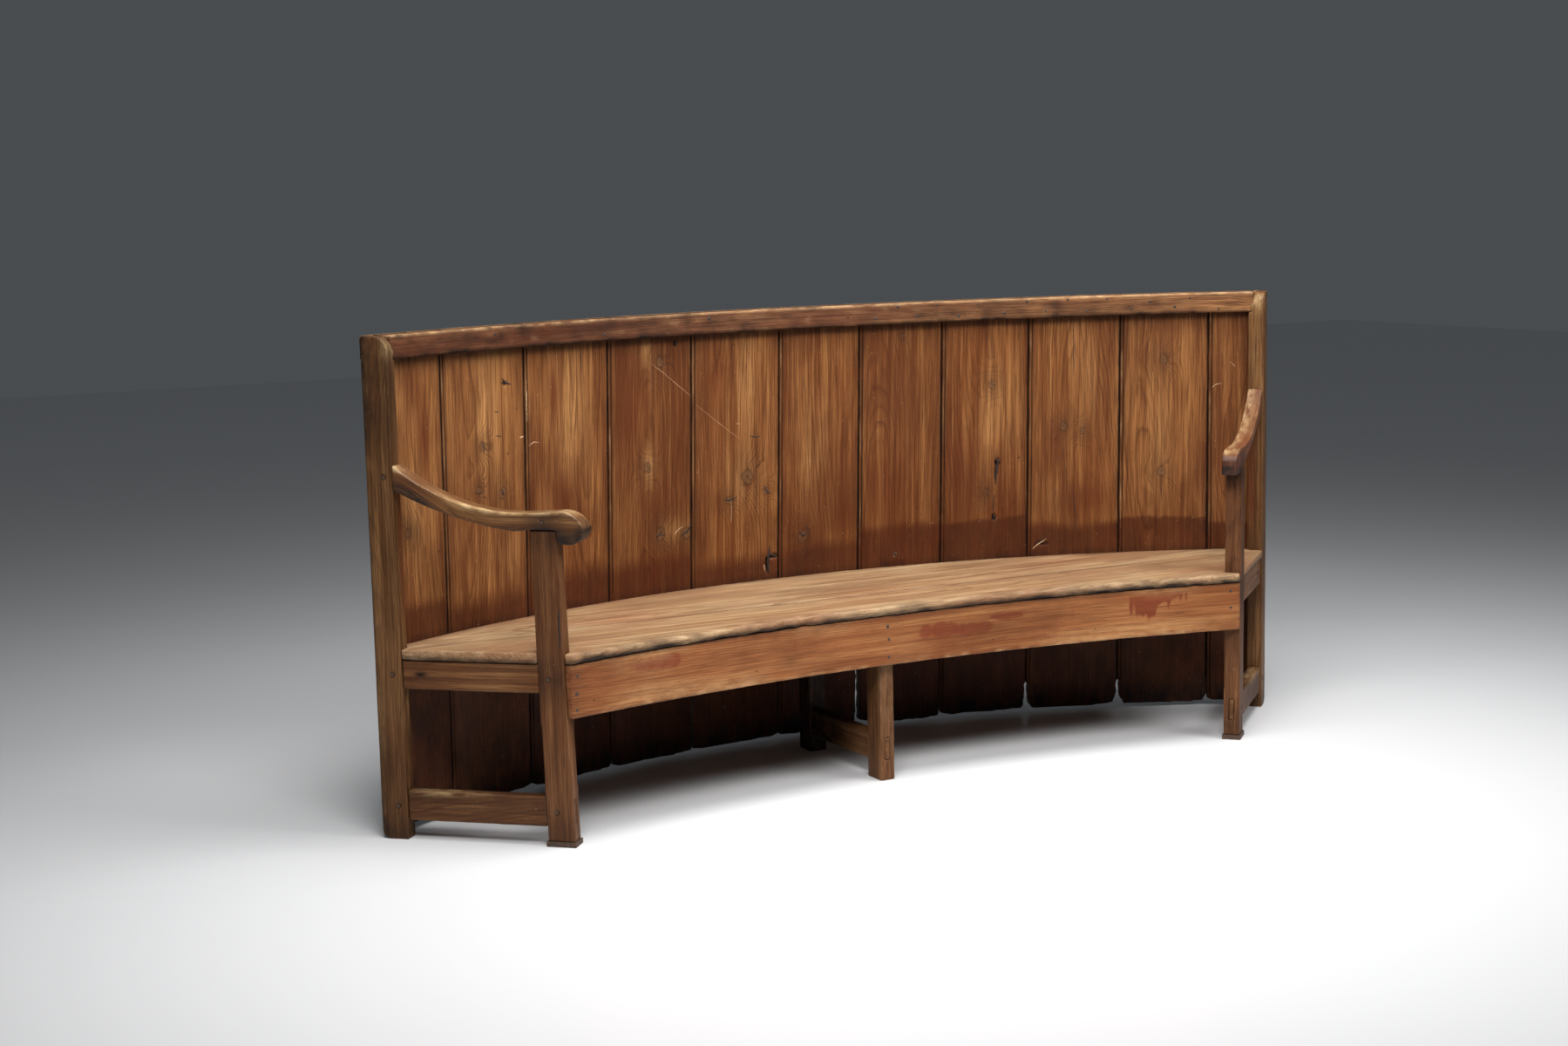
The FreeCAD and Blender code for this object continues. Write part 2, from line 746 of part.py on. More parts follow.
def build_seat():
    low = seat_foot
    high = seat_top
    seam = chord + cell("seat_seam")
    nose = cylinder("seat_nose", apron_radius - cell("nose_lip"), low - PAST, high + PAST,
                    0.0, apron_centre)
    back = cylinder("seat_back_edge", seat_edge_radius, low - PAST, high + PAST, 0.0, seat_arc.centre)
    edge = half_span + half_span / 10.0
    front_space = upright_prism("seat_front_space", [
        (-edge, chord - half_span), (edge, chord - half_span), (edge, seam), (-edge, seam)], low, high)
    back_space = upright_prism("seat_back_space", [
        (-edge, seam + joint_room), (edge, seam + joint_room),
        (edge, chord + half_span), (-edge, chord + half_span)], low, high)
    plan = plan_between("seat_plan", 0.0, low, high)
    front = combine("Cut", "seat_front_curve", combine("Common", "seat_front_blank", plan, front_space),
                    nose)
    rear = combine("Common", "seat_back_curve",
                   combine("Common", "seat_back_blank", plan, back_space), back)
    for frame in (left, right):
        post_room = frame.board("seat_post_notch", [
            (post_back(low) - fit, low - PAST), (post_front(low) + fit, low - PAST),
            (post_front(low) + fit, high + PAST), (post_back(low) - fit, high + PAST)],
            -1.0 * PAST, post_thick + fit)
        stile_room = frame.board("seat_stile_notch", box_path(
            -1.0 * PAST, low - PAST, stile_deep + fit, high + PAST), -1.0 * PAST, stile_thick + fit)
        front = combine("Cut", frame.name + "_post_notched", front, post_room)
        front = combine("Cut", frame.name + "_stile_notched", front, stile_room)
        rear = combine("Cut", frame.name + "_rear_notched", rear, stile_room)
    doc.recompute()
    rounded = doc.addObject("Part::Fillet", "seat_front_rounded")
    rounded.Base = front
    edges = []
    radius = DRIVING["nose_round"]
    nose_radius = apron_radius.number - DRIVING["nose_lip"]
    for number, edge in enumerate(front.Shape.Edges, 1):
        curve = edge.Curve
        if edge.Length > half_span.number and abs(getattr(curve, "Radius", 0.0) - nose_radius) < fit.number:
            edges.append((number, radius, radius))
    rounded.Edges = edges
    keep("seat_front_board", rounded)
    keep("seat_back_board", rear)


def build_middle():
    """Two legs, a stretcher and a bearer a little to the left of the centre."""
    near = cell("middle_left")
    wide = cell("front_leg_wide")
    rail_set = (wide - cell("rail_thick")) / 2.0
    tenon_set = (wide - cell("tenon_thick")) / 2.0
    front_face = apron_centre + apron_radius + cell("apron_thick") + fit
    front_back = front_face + cell("front_leg_deep")
    rear_face = front_back + cell("middle_gap")
    rear_back = rear_face + cell("back_leg_deep")

    def board(name, path, inset, thick):
        body = new_body(name)
        sketch = new_sketch(body, name + "_side", "YZ_Plane")
        bind(sketch, "AttachmentOffset.Base.z", near + inset)
        draw_outline(sketch, path)
        pad = body.newObject("PartDesign::Pad", name + "_pad")
        pad.Profile = sketch
        bind(pad, "Length", thick)
        return body

    def feature(body, name, path, inset, thick, cut):
        sketch = new_sketch(body, body.Name + "_" + name, "YZ_Plane")
        bind(sketch, "AttachmentOffset.Base.z", near + inset)
        draw_outline(sketch, path)
        kind = "PartDesign::Pocket" if cut else "PartDesign::Pad"
        item = body.newObject(kind, body.Name + "_" + name + "_feature")
        item.Profile = sketch
        item.Reversed = cut
        bind(item, "Length", thick)

    front = board("middle_front_leg", box_path(front_face, 0.0, front_back, seat_foot), 0.0, wide)
    rear = board("middle_back_leg", box_path(rear_face, 0.0, rear_back, seat_foot), 0.0,
                 cell("back_leg_wide"))
    tenon = cell("tenon_long")
    thick = cell("tenon_thick")
    for name, low, high, through in (("middle_bearer", rail_foot, seat_foot, False),
                                     ("middle_stretcher", stretcher_foot, stretcher_top, True)):
        body = board(name, box_path(front_back, low, rear_face, high), rail_set,
                     cell("rail_thick"))
        reach = front_face + fit if through else front_back - tenon
        feature(body, "tenons", box_path(reach, low + shoulder, rear_face + tenon, high - shoulder),
                tenon_set, thick, False)
        keep(name, body)
        room_low = low + shoulder - joint_room
        room_high = high - shoulder + joint_room
        room_front = front_face - PAST if through else front_back - tenon - joint_room
        feature(front, name + "_mortise",
                box_path(room_front, room_low, front_back + PAST, room_high),
                tenon_set - joint_room, thick + 2.0 * joint_room, True)
        feature(rear, name + "_mortise",
                box_path(rear_face - PAST, room_low, rear_face + tenon + joint_room, room_high),
                tenon_set - joint_room, thick + 2.0 * joint_room, True)
    keep("middle_front_leg", front)
    keep("middle_back_leg", rear)


board_total = cell("board_wide_01")
for number in range(2, len(BOARD_WIDTHS) + 1):
    board_total = board_total + cell("board_wide_%02d" % number)


def seam_share(number):
    """Where a seam falls along the back's curve, as a share of its length."""
    edge = cell("board_edge_inset") / arc_length
    if number == 0:
        return edge
    if number == len(BOARD_WIDTHS):
        return 1.0 - edge
    run = cell("board_wide_01")
    for earlier in range(2, number + 1):
        run = run + cell("board_wide_%02d" % earlier)
    return edge + (1.0 - 2.0 * edge) * run / board_total


def seam_angle(arc, share):
    return arc.half_angle * (2.0 * share - 1.0)


def on_arc(arc, angle):
    return arc.radius * sin_of(angle), arc.centre + arc.radius * cos_of(angle)


def build_board(number):
    """One upright board: a tongue on its right edge, a groove and a bead on its left."""
    name = "back_board_%02d" % number
    last = len(BOARD_WIDTHS)
    shares = (seam_share(number - 1), seam_share(number))
    places = []
    for arc in (foot_arc, top_arc):
        angles = [seam_angle(arc, share) for share in shares]
        middle = (angles[0] + angles[1]) / 2.0
        width = 2.0 * arc.radius * sin_of((angles[1] - angles[0]) / 2.0)
        places.append((on_arc(arc, angles[0]), middle, width))
    (foot_point, foot_turn, foot_width), (top_point, top_turn, top_width) = places

    gap = joint_room
    thick = board_thick
    tongue_low = cell("tongue_set")
    tongue_high = cell("tongue_set") + cell("tongue_thick")
    room = cell("groove_room") / 2.0
    bead = cell("bead_round")
    dip = bead * BEAD_RISE
    bead_end = gap + 2.0 * bead

    def section(width):
        path = [(gap, thick)]
        if number > 1:
            path += [
                (gap, tongue_high + room),
                (gap + cell("tongue_long") + room, tongue_high + room),
                (gap + cell("tongue_long") + room, tongue_low - room),
                (gap, tongue_low - room),
            ]
        path += [
            (gap, dip, bead * CORNER, 1),
            (bead_end, dip),
            (bead_end + cell("bead_quirk"), dip),
            (bead_end + cell("bead_quirk"), 0.0),
            (width - gap, 0.0),
        ]
        if number < last:
            path += [
                (width - gap, tongue_low),
                (width - gap + cell("tongue_long"), tongue_low),
                (width - gap + cell("tongue_long"), tongue_high),
                (width - gap, tongue_high),
            ]
        return path + [(width - gap, thick)]

    body = new_body(name)
    foot_sketch = new_sketch(body, name + "_foot", "XY_Plane")
    draw_outline(foot_sketch, section(foot_width))
    top_sketch = new_sketch(body, name + "_top", "XY_Plane")
    over = top_point[0] - foot_point[0]
    back = top_point[1] - foot_point[1]
    bind(top_sketch, "AttachmentOffset.Base.x", over * cos_of(foot_turn) - back * sin_of(foot_turn))
    bind(top_sketch, "AttachmentOffset.Base.y", over * sin_of(foot_turn) + back * cos_of(foot_turn))
    bind(top_sketch, "AttachmentOffset.Base.z", tall)
    bind(top_sketch, "AttachmentOffset.Rotation.Angle", foot_turn - top_turn)
    draw_outline(top_sketch, section(top_width))
    loft = body.newObject("PartDesign::AdditiveLoft", name + "_loft")
    loft.Profile = foot_sketch
    loft.Sections = [top_sketch]
    loft.Ruled = True

    # the worn foot, with the gaps that decay has opened beside the seams
    foot = cell("board_foot_%02d" % number)
    outer_gap = cell("outer_edge_gap")
    left_gap = (cell("decay_gap_%02d" % (number - 1)) if number > 1 else outer_gap) / 2.0
    right_gap = (cell("decay_gap_%02d" % number) if number < last else outer_gap) / 2.0
    left_tall = cell("decay_top_%02d" % (number - 1)) if number > 1 else foot + PAST
    right_tall = cell("decay_top_%02d" % number) if number < last else foot + PAST
    beside = cell("tongue_long") + PAST
    edge = foot_width + beside
    worn = new_sketch(body, name + "_worn_foot", "XZ_Plane")
    draw_outline(worn, [
        (-1.0 * beside, -1.0 * PAST),
        (edge, -1.0 * PAST),
        (edge, right_tall),
        (foot_width - right_gap, right_tall),
        (foot_width - right_gap, foot),
        (left_gap, foot),
        (left_gap, left_tall),
        (-1.0 * beside, left_tall),
    ])
    pocket = body.newObject("PartDesign::Pocket", name + "_worn")
    pocket.Profile = worn
    pocket.Midplane = True
    bind(pocket, "Length", board_thick * 6.0)

    bind(body, "Placement.Base.x", foot_point[0])
    bind(body, "Placement.Base.y", foot_point[1])
    bind(body, "Placement.Rotation.Angle", -1.0 * foot_turn)
    keep(name, body)


def build_top_rails():
    low = top_rail_foot

    def bent(name, outer, centre_outer, inner, centre_inner, inset):
        ring = combine("Cut", name + "_ring",
                       cylinder(name + "_outer", outer, low, tall, 0.0, centre_outer),
                       cylinder(name + "_inner", inner, low - PAST, tall + PAST, 0.0, centre_inner))
        plan = plan_between(name + "_plan", inset, low - PAST, tall + PAST)
        keep(name, combine("Common", name + "_cut", ring, plan))

    bent("front_top_rail", top_edge_radius, top_arc.centre,
         top_edge_radius - cell("front_rail_thick"), top_arc.centre, cell("rail_end_inset"))
    rear_inner = rail_foot_arc.radius + board_thick + fit
    bent("rear_top_rail", rear_inner + cell("rear_rail_thick"), rail_foot_arc.centre,
         rear_inner, rail_foot_arc.centre, cell("rear_rail_inset"))


build_seat()
build_middle()
for number in range(1, len(BOARD_WIDTHS) + 1):
    build_board(number)
build_top_rails()
doc.recompute()

for item in doc.Objects:
    if "Invalid" in item.State or "Error" in item.State:
        raise RuntimeError("%s failed: %s" % (item.Name, item.getStatusString()))
for node, item in NODES.items():
    if item.Shape.isNull() or not item.Shape.isValid() or not item.Shape.Solids:
        raise RuntimeError("%s has no valid solid" % node)
for node, item in NODES.items():
    item.Shape.exportStep("parts/%s.step" % node)
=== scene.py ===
import bpy
import bmesh
import math
import numpy as np
from mathutils import Matrix, Vector


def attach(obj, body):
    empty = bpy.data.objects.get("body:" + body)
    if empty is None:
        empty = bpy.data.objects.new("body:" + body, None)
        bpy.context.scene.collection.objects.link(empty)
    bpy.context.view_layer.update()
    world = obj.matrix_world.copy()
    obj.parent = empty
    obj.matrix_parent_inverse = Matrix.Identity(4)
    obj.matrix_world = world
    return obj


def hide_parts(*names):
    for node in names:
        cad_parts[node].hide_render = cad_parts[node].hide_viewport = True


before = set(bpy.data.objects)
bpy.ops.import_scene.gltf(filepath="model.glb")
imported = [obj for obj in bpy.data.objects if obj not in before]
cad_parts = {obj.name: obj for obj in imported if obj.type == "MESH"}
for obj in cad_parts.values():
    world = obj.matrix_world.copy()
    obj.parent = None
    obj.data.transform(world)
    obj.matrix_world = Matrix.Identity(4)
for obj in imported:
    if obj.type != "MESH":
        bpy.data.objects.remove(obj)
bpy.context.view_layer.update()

# the bench's plan, in metres
bench = {
    "halfSpan": 1.308,
    "footBow": 0.3854,
    "topBow": 0.3214,
    "tall": 1.186,
    "chord": -0.0306,
    "toe": math.radians(47.7),
    "backLine": 0.024,
    "seatTop": 0.456,
    "boardThick": 0.020,
    "edgeInset": 0.034,
}

# camera, in metres and degrees
camera = {
    "place": (-2.9903, -5.2107, 1.4947),
    "yaw": -27.948,
    "pitch": -8.093,
    "roll": -1.288,
    "lens": 53.68,
}


def newItem(name, data):
    item = bpy.data.objects.new(name, data)
    bpy.context.scene.collection.objects.link(item)
    return item


def placeCamera():
    data = bpy.data.cameras.new("camera")
    data.sensor_fit = "HORIZONTAL"
    data.sensor_width = 36.0
    data.lens = camera["lens"]
    data.clip_start = 0.05
    data.clip_end = 60.0
    item = newItem("camera", data)
    yaw, pitch, roll = (math.radians(camera[key]) for key in ("yaw", "pitch", "roll"))
    ahead = Vector((-math.sin(yaw) * math.cos(pitch), math.cos(yaw) * math.cos(pitch), math.sin(pitch)))
    side = Vector((math.cos(yaw), math.sin(yaw), 0.0))
    up = side.cross(ahead)
    rolledSide = side * math.cos(roll) + up * math.sin(roll)
    rolledUp = up * math.cos(roll) - side * math.sin(roll)
    turn = Matrix((rolledSide, rolledUp, -ahead)).transposed()
    item.matrix_world = Matrix.Translation(camera["place"]) @ turn.to_4x4()
    bpy.context.scene.camera = item


placeCamera()
print("camera placed")


# smooth noise on arrays of points

def lattice(cells, seed):
    n = cells.astype(np.int64)
    h = (n[:, 0] * 73856093) ^ (n[:, 1] * 19349663) ^ (n[:, 2] * 83492791) ^ (seed * 2654435)
    h = ((h ^ (h >> 13)) * 1274126177) & 0x7FFFFFFF
    return ((h ^ (h >> 15)) & 0xFFFF) / 32767.5 - 1.0


def softNoise(points, scale, seed=0):
    p = np.asarray(points) * np.asarray(scale)
    base = np.floor(p)
    f = p - base
    f = f * f * (3.0 - 2.0 * f)
    total = np.zeros(len(p))
    for dx in (0, 1):
        for dy in (0, 1):
            for dz in (0, 1):
                weight = (f[:, 0] if dx else 1 - f[:, 0]) * (f[:, 1] if dy else 1 - f[:, 1]) \
                    * (f[:, 2] if dz else 1 - f[:, 2])
                total += weight * lattice(base + (dx, dy, dz), seed)
    return total


def capped(values):
    return np.clip(values, 0.0, 1.0)


def stacked(*columns):
    return np.column_stack([np.ravel(column) for column in np.broadcast_arrays(*columns)])


def unitRows(rows):
    return rows / np.linalg.norm(rows, axis=1)[:, None]


def smoothStep(low, high, value):
    t = capped((value - low) / (high - low))
    return t * t * (3.0 - 2.0 * t)


# wood material

class Tree:
    def __init__(self, tree):
        self.tree = tree

    def link(self, source, socket):
        self.tree.links.new(source, socket)

    def add(self, kind, inputs=(), **settings):
        node = self.tree.nodes.new(kind)
        for key, value in settings.items():
            setattr(node, key, value)
        for key, value in dict(inputs).items():
            if isinstance(value, bpy.types.NodeSocket):
                self.link(value, node.inputs[key])
            else:
                node.inputs[key].default_value = value
        return node

    def math(self, operation, first, second=0.0, clamp=False):
        node = self.add("ShaderNodeMath", {0: first, 1: second}, operation=operation, use_clamp=clamp)
        return node.outputs[0]

    def times(self, first, second, clamp=False):
        return self.math("MULTIPLY", first, second, clamp)

    def plus(self, first, second, clamp=False):
        return self.math("ADD", first, second, clamp)

    def minus(self, first, second):
        return self.math("SUBTRACT", first, second)

    def vector(self, operation, first, second):
        return self.add("ShaderNodeVectorMath", {0: first, 1: second}, operation=operation).outputs[0]

    def noise(self, vector, scale, detail=2.0, rough=0.5):
        node = self.add("ShaderNodeTexNoise", {"Vector": vector, "Scale": scale, "Detail": detail,
                                               "Roughness": rough})
        return node.outputs["Fac"]

    def scaled(self, vector, sizes):
        return self.vector("MULTIPLY", vector, sizes)

    def ramp(self, value, stops):
        node = self.add("ShaderNodeValToRGB", {"Fac": value})
        ramp = node.color_ramp
        while len(ramp.elements) > 1:
            ramp.elements.remove(ramp.elements[-1])
        for number, (place, shade) in enumerate(stops):
            element = ramp.elements[0] if number == 0 else ramp.elements.new(place)
            element.position = place
            element.color = (shade, shade, shade, 1.0)
        return node.outputs["Color"]

    def rise(self, value, low, high):
        return self.ramp(value, ((low, 0.0), (high, 1.0)))

    def fall(self, value, low, high):
        return self.ramp(value, ((low, 1.0), (high, 0.0)))

    def mix(self, share, first, second):
        node = self.add("ShaderNodeMix", data_type="RGBA")
        for key, value in (("Factor_Float", share), ("A_Color", first), ("B_Color", second)):
            socket = next(item for item in node.inputs if item.identifier == key)
            if isinstance(value, bpy.types.NodeSocket):
                self.link(value, socket)
            elif key == "Factor_Float":
                socket.default_value = value
            else:
                socket.default_value = (*value, 1.0)
        return next(item for item in node.outputs if item.identifier == "Result_Color")


def newMaterial(name):
    material = bpy.data.materials.new(name)
    material.use_nodes = True
    return material, Tree(material.node_tree), material.node_tree.nodes["Principled BSDF"]


# colours are in thousandths
pine = {
    "early": (240, 90, 27),
    "tint": (155, 47, 13),
    "golden": (370, 165, 54),
    "late": (55, 16, 5),
    "deep": (85, 23, 7),
    "pale": (500, 250, 90),
    "red": (80, 14, 4),
    "dirt": (12, 6, 4),
    "worn": (560, 340, 165),
    "knotRim": (60, 24, 10),
    "knotHeart": (230, 110, 48),
    "ringSpacing": 0.0068,
    "ringStrength": 0.85,
    "pith": 0.070,
    "streaks": 0.85,
    "fibre": 0.8,
    "roughLow": 0.34,
    "roughHigh": 0.60,
    "bump": 0.6,
    "specular": 0.14,
}


def makePine(name, **changes):
    look = dict(pine, **changes)
    for key, value in look.items():
        if isinstance(value, tuple):
            look[key] = [part / 1000.0 for part in value]
    material, t, shader = newMaterial(name)

    # what each mesh says of itself: grain axes, marks and knots
    grain = t.add("ShaderNodeAttribute", attribute_name="grain").outputs["Vector"]
    marks = t.add("ShaderNodeAttribute", attribute_name="marks").outputs
    # marks: pale, dirt with painted shade, red, and wear with some painted highlight
    pale, dirt, red = t.add("ShaderNodeSeparateColor", {"Color": marks["Color"]}).outputs[:3]
    wearAndSheen = marks["Alpha"]
    knotted = t.add("ShaderNodeAttribute", attribute_name="knots").outputs["Vector"]
    knotShift, knotCore, tone = t.add("ShaderNodeSeparateXYZ", {"Vector": knotted}).outputs[:3]

    def fleck(sizes, detail, rough=0.5):
        return t.noise(t.scaled(grain, sizes), 1.0, detail, rough)

    def over(share, level, below, shade):
        return t.mix(t.times(share, level), below, look[shade])

    # growth rings about a pith that wanders behind the face
    wander = t.add("ShaderNodeTexNoise", {"Vector": t.scaled(grain, (2.4, 2.4, 0.9)), "Scale": 1.0,
                                          "Detail": 2.0, "Roughness": 0.45}).outputs["Color"]
    shift = t.scaled(t.vector("SUBTRACT", wander, (0.5, 0.5, 0.5)), (0.20, 0.15, 0.0))
    flat = t.scaled(t.vector("ADD", grain, shift), (1.0, 1.0, 0.0))
    away = t.vector("ADD", flat, (0.0, look["pith"], 0.0))
    radius = t.add("ShaderNodeVectorMath", {0: away}, operation="LENGTH").outputs["Value"]
    ripple = fleck((34.0, 34.0, 4.0), 3.0)
    rings = t.math("DIVIDE", radius, look["ringSpacing"])
    rings = t.plus(t.plus(rings, t.times(ripple, 1.1)), knotShift)
    late = t.ramp(t.math("FRACT", rings), ((0.0, 0.25), (0.08, 0.02), (0.45, 0.06), (0.74, 0.45),
                                           (0.88, 1.0), (0.95, 0.9), (1.0, 0.25)))
    season = t.add("ShaderNodeTexWhiteNoise", {"W": t.math("FLOOR", rings)},
                   noise_dimensions="1D").outputs["Value"]
    ringShow = t.ramp(fleck((9.0, 9.0, 1.3), 2.0), ((0.36, 0.30), (0.60, 1.0)))
    lateShare = t.times(late, t.plus(t.times(season, 0.75), 0.25))
    lateShare = t.times(t.times(lateShare, ringShow), look["ringStrength"])

    # long streaks of light and dark fibres, from broad to fine
    cloud = fleck((9.0, 9.0, 1.8), 4.0, 0.55)
    broad = fleck((48.0, 48.0, 1.5), 3.0, 0.6)
    narrow = fleck((125.0, 125.0, 2.6), 3.0, 0.65)
    fibre = fleck((340.0, 340.0, 8.0), 3.0, 0.65)
    dashes = fleck((210.0, 210.0, 12.0), 3.0, 0.7)
    streaks = look["streaks"]
    fibres = look["fibre"]
    colour = t.mix(t.rise(cloud, 0.38, 0.60), look["early"], look["tint"])
    colour = over(t.rise(broad, 0.50, 0.66), streaks * 0.65, colour, "golden")
    colour = over(t.math("MAXIMUM", tone, 0.0), 0.6, colour, "golden")
    colour = over(t.math("MAXIMUM", t.times(tone, -1.0), 0.0), 0.6, colour, "deep")
    paleShare = t.times(pale, t.ramp(broad, ((0.34, 0.25), (0.58, 1.0))))
    colour = over(paleShare, 0.9, colour, "pale")
    colour = over(t.fall(broad, 0.34, 0.48), streaks * 0.55, colour, "deep")
    colour = over(t.rise(narrow, 0.54, 0.68), streaks * 0.50, colour, "golden")
    colour = over(t.fall(narrow, 0.33, 0.48), streaks * 0.66, colour, "deep")
    colour = t.mix(lateShare, colour, look["late"])
    colour = over(t.fall(fibre, 0.38, 0.55), fibres * 0.72, colour, "late")
    colour = over(t.fall(dashes, 0.28, 0.37), fibres * 0.80, colour, "dirt")
    redShare = t.times(red, t.ramp(broad, ((0.30, 0.70), (0.60, 1.0))))
    colour = t.mix(t.times(redShare, 0.85, clamp=True), colour, look["red"])

    # knots: a dark rim about a paler, ringed heart
    whorl = fleck((130.0, 130.0, 90.0), 4.0, 0.7)
    rimmed = t.plus(knotCore, t.times(t.minus(whorl, 0.5), 0.9))
    colour = over(t.rise(rimmed, 0.12, 0.42), 0.62, colour, "knotRim")
    heart = t.ramp(rimmed, ((0.46, 0.0), (0.60, 0.85), (0.70, 0.30), (0.80, 0.75), (0.98, 0.10)))
    colour = t.mix(heart, colour, look["knotHeart"])

    # dark clouds of old wax, then wear and grime with soft, broken edges; the grime channel also carries
    # painted shade, and on the boards the wear channel, in the worn colour, also carries a painted
    # highlight on the bead crests
    rub = fleck((70.0, 70.0, 24.0), 5.0, 0.65)
    bloom = fleck((5.0, 5.0, 2.6), 4.0, 0.6)
    grime = fleck((30.0, 30.0, 13.0), 6.0, 0.68)
    colour = over(t.rise(bloom, 0.50, 0.64), 0.50, colour, "deep")
    wearAndSheenShare = t.times(wearAndSheen, t.ramp(rub, ((0.36, 0.05), (0.60, 1.0))), clamp=True)
    colour = t.mix(wearAndSheenShare, colour, look["worn"])
    dirtAndShadeShare = t.times(dirt, t.ramp(grime, ((0.34, 0.55), (0.60, 1.15))), clamp=True)
    colour = t.mix(dirtAndShadeShare, colour, look["dirt"])

    # worm holes and small pale nicks
    holes = t.add("ShaderNodeTexVoronoi", {"Vector": t.scaled(grain, (26.0, 26.0, 14.0)), "Scale": 1.0})
    chosen = t.add("ShaderNodeSeparateColor", {"Color": holes.outputs["Color"]}).outputs[0]
    dot = t.math("LESS_THAN", holes.outputs["Distance"], t.times(chosen, 0.050))
    dot = t.times(dot, t.math("GREATER_THAN", chosen, 0.72))
    colour = over(dot, 0.9, colour, "dirt")
    nicks = t.ramp(fleck((260.0, 260.0, 120.0), 2.0, 0.6), ((0.735, 0.0), (0.760, 0.6)))
    colour = t.mix(nicks, colour, look["worn"])
    t.link(colour, shader.inputs["Base Color"])

    rough = t.plus(t.times(bloom, look["roughHigh"] - look["roughLow"]), look["roughLow"])
    rough = t.plus(rough, t.times(dirt, 0.15))
    rough = t.plus(rough, t.times(t.minus(rub, 0.5), 0.25), clamp=True)
    t.link(rough, shader.inputs["Roughness"])
    shader.inputs["Specular IOR Level"].default_value = look["specular"]

    relief = t.times(late, -0.5)
    for texture, rise in ((fibre, 0.9), (dashes, 1.4), (rub, 1.1), (dot, -1.5)):
        relief = t.plus(relief, t.times(texture, rise))
    bump = t.add("ShaderNodeBump", {"Height": relief, "Strength": look["bump"], "Distance": 0.0010})
    t.link(bump.outputs["Normal"], shader.inputs["Normal"])
    return material


print("wood ready")


# meshes carry their grain direction and marks

def setMarks(mesh, grain, marks, knots=None):
    if knots is None:
        knots = np.zeros((len(mesh.vertices), 3))
    for name, kind, key, values in (("grain", "FLOAT_VECTOR", "vector", grain),
                                    ("marks", "FLOAT_COLOR", "color", capped(marks)),
                                    ("knots", "FLOAT_VECTOR", "vector", knots)):
        item = mesh.attributes.new(name, kind, "POINT")
        item.data.foreach_set(key, np.asarray(values, dtype=np.float32).ravel())


def readRows(items, key):
    rows = np.empty(len(items) * 3)
    items.foreach_get(key, rows)
    return rows.reshape(-1, 3)


def edgeWear(mesh, rounds=2):
    # how far each point stands proud of its neighbours: worn arrises score high
    points = readRows(mesh.vertices, "co")
    normals = readRows(mesh.vertex_normals, "vector")
    edges = np.empty(len(mesh.edges) * 2, dtype=np.int64)
    mesh.edges.foreach_get("vertices", edges)
    edges = edges.reshape(-1, 2)
    degree = np.bincount(edges.ravel(), minlength=len(points)).astype(float)
    degree[degree == 0] = 1.0

    def spread(values):
        total = np.zeros_like(values)
        np.add.at(total, edges[:, 0], values[edges[:, 1]])
        np.add.at(total, edges[:, 1], values[edges[:, 0]])
        return total / (degree[:, None] if values.ndim == 2 else degree)

    length = np.linalg.norm(points[edges[:, 0]] - points[edges[:, 1]], axis=1).mean()
    proud = -np.einsum("ij,ij->i", spread(points) - points, normals) / length
    for _ in range(rounds):
        proud = 0.5 * proud + 0.5 * spread(proud)
    return proud


def addObject(name, mesh, material, nodes=()):
    item = newItem(name, mesh)
    mesh.materials.clear()
    mesh.materials.append(material)
    for face in mesh.polygons:
        face.use_smooth = True
    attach(item, "root")
    if nodes:
        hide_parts(*nodes)


def faceOutwards(mesh, weld=None):
    work = bmesh.new()
    work.from_mesh(mesh)
    if weld:
        bmesh.ops.remove_doubles(work, verts=work.verts, dist=weld)
    bmesh.ops.recalc_face_normals(work, faces=work.faces)
    work.to_mesh(mesh)
    work.free()


def wornCopy(node, voxel, soften):
    # a node's shape with evenly spread points and softened arrises
    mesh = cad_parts[node].data.copy()
    faceOutwards(mesh, weld=0.00002)
    item = newItem("work", mesh)
    remesh = item.modifiers.new("even", "REMESH")
    remesh.mode = "VOXEL"
    remesh.voxel_size = voxel
    smooth = item.modifiers.new("soften", "SMOOTH")
    smooth.factor = 0.5
    smooth.iterations = soften
    depsgraph = bpy.context.evaluated_depsgraph_get()
    done = bpy.data.meshes.new_from_object(item.evaluated_get(depsgraph))
    bpy.data.objects.remove(item)
    bpy.data.meshes.remove(mesh)
    return done


def wearDown(mesh, seed, dent):
    # dents and hollows, always into the wood
    points = readRows(mesh.vertices, "co")
    normals = readRows(mesh.vertex_normals, "vector")
    proud = np.clip(edgeWear(mesh, 1), 0.0, 0.5)
    broad = softNoise(points, 9.0, seed)
    fine = softNoise(points, 45.0, seed + 1)
    depth = dent * (0.45 + 0.3 * broad + 0.25 * fine)
    chips = capped(softNoise(points, 26.0, seed + 2) - 0.25) * proud
    depth = np.clip(depth, 0, None) + chips * 0.006
    points = points - normals * depth[:, None]
    mesh.vertices.foreach_set("co", points.ravel())
    mesh.update()
    return points


def stripMesh(name, strips):
    # closed strips of rings of four points
    points = []
    faces = []
    for rings in strips:
        start = len(points)
        last = start + (len(rings) - 1) * 4
        faces.append((start + 3, start + 2, start + 1, start))
        for low in range(start, last, 4):
            for corner in range(4):
                other = (corner + 1) % 4
                faces.append((low + corner, low + other, low + 4 + other, low + 4 + corner))
        faces.append((last, last + 1, last + 2, last + 3))
        points += rings.reshape(-1, 3).tolist()
    mesh = bpy.data.meshes.new(name)
    mesh.from_pydata(points, [], faces)
    faceOutwards(mesh)
    return mesh


# the end frames' own directions

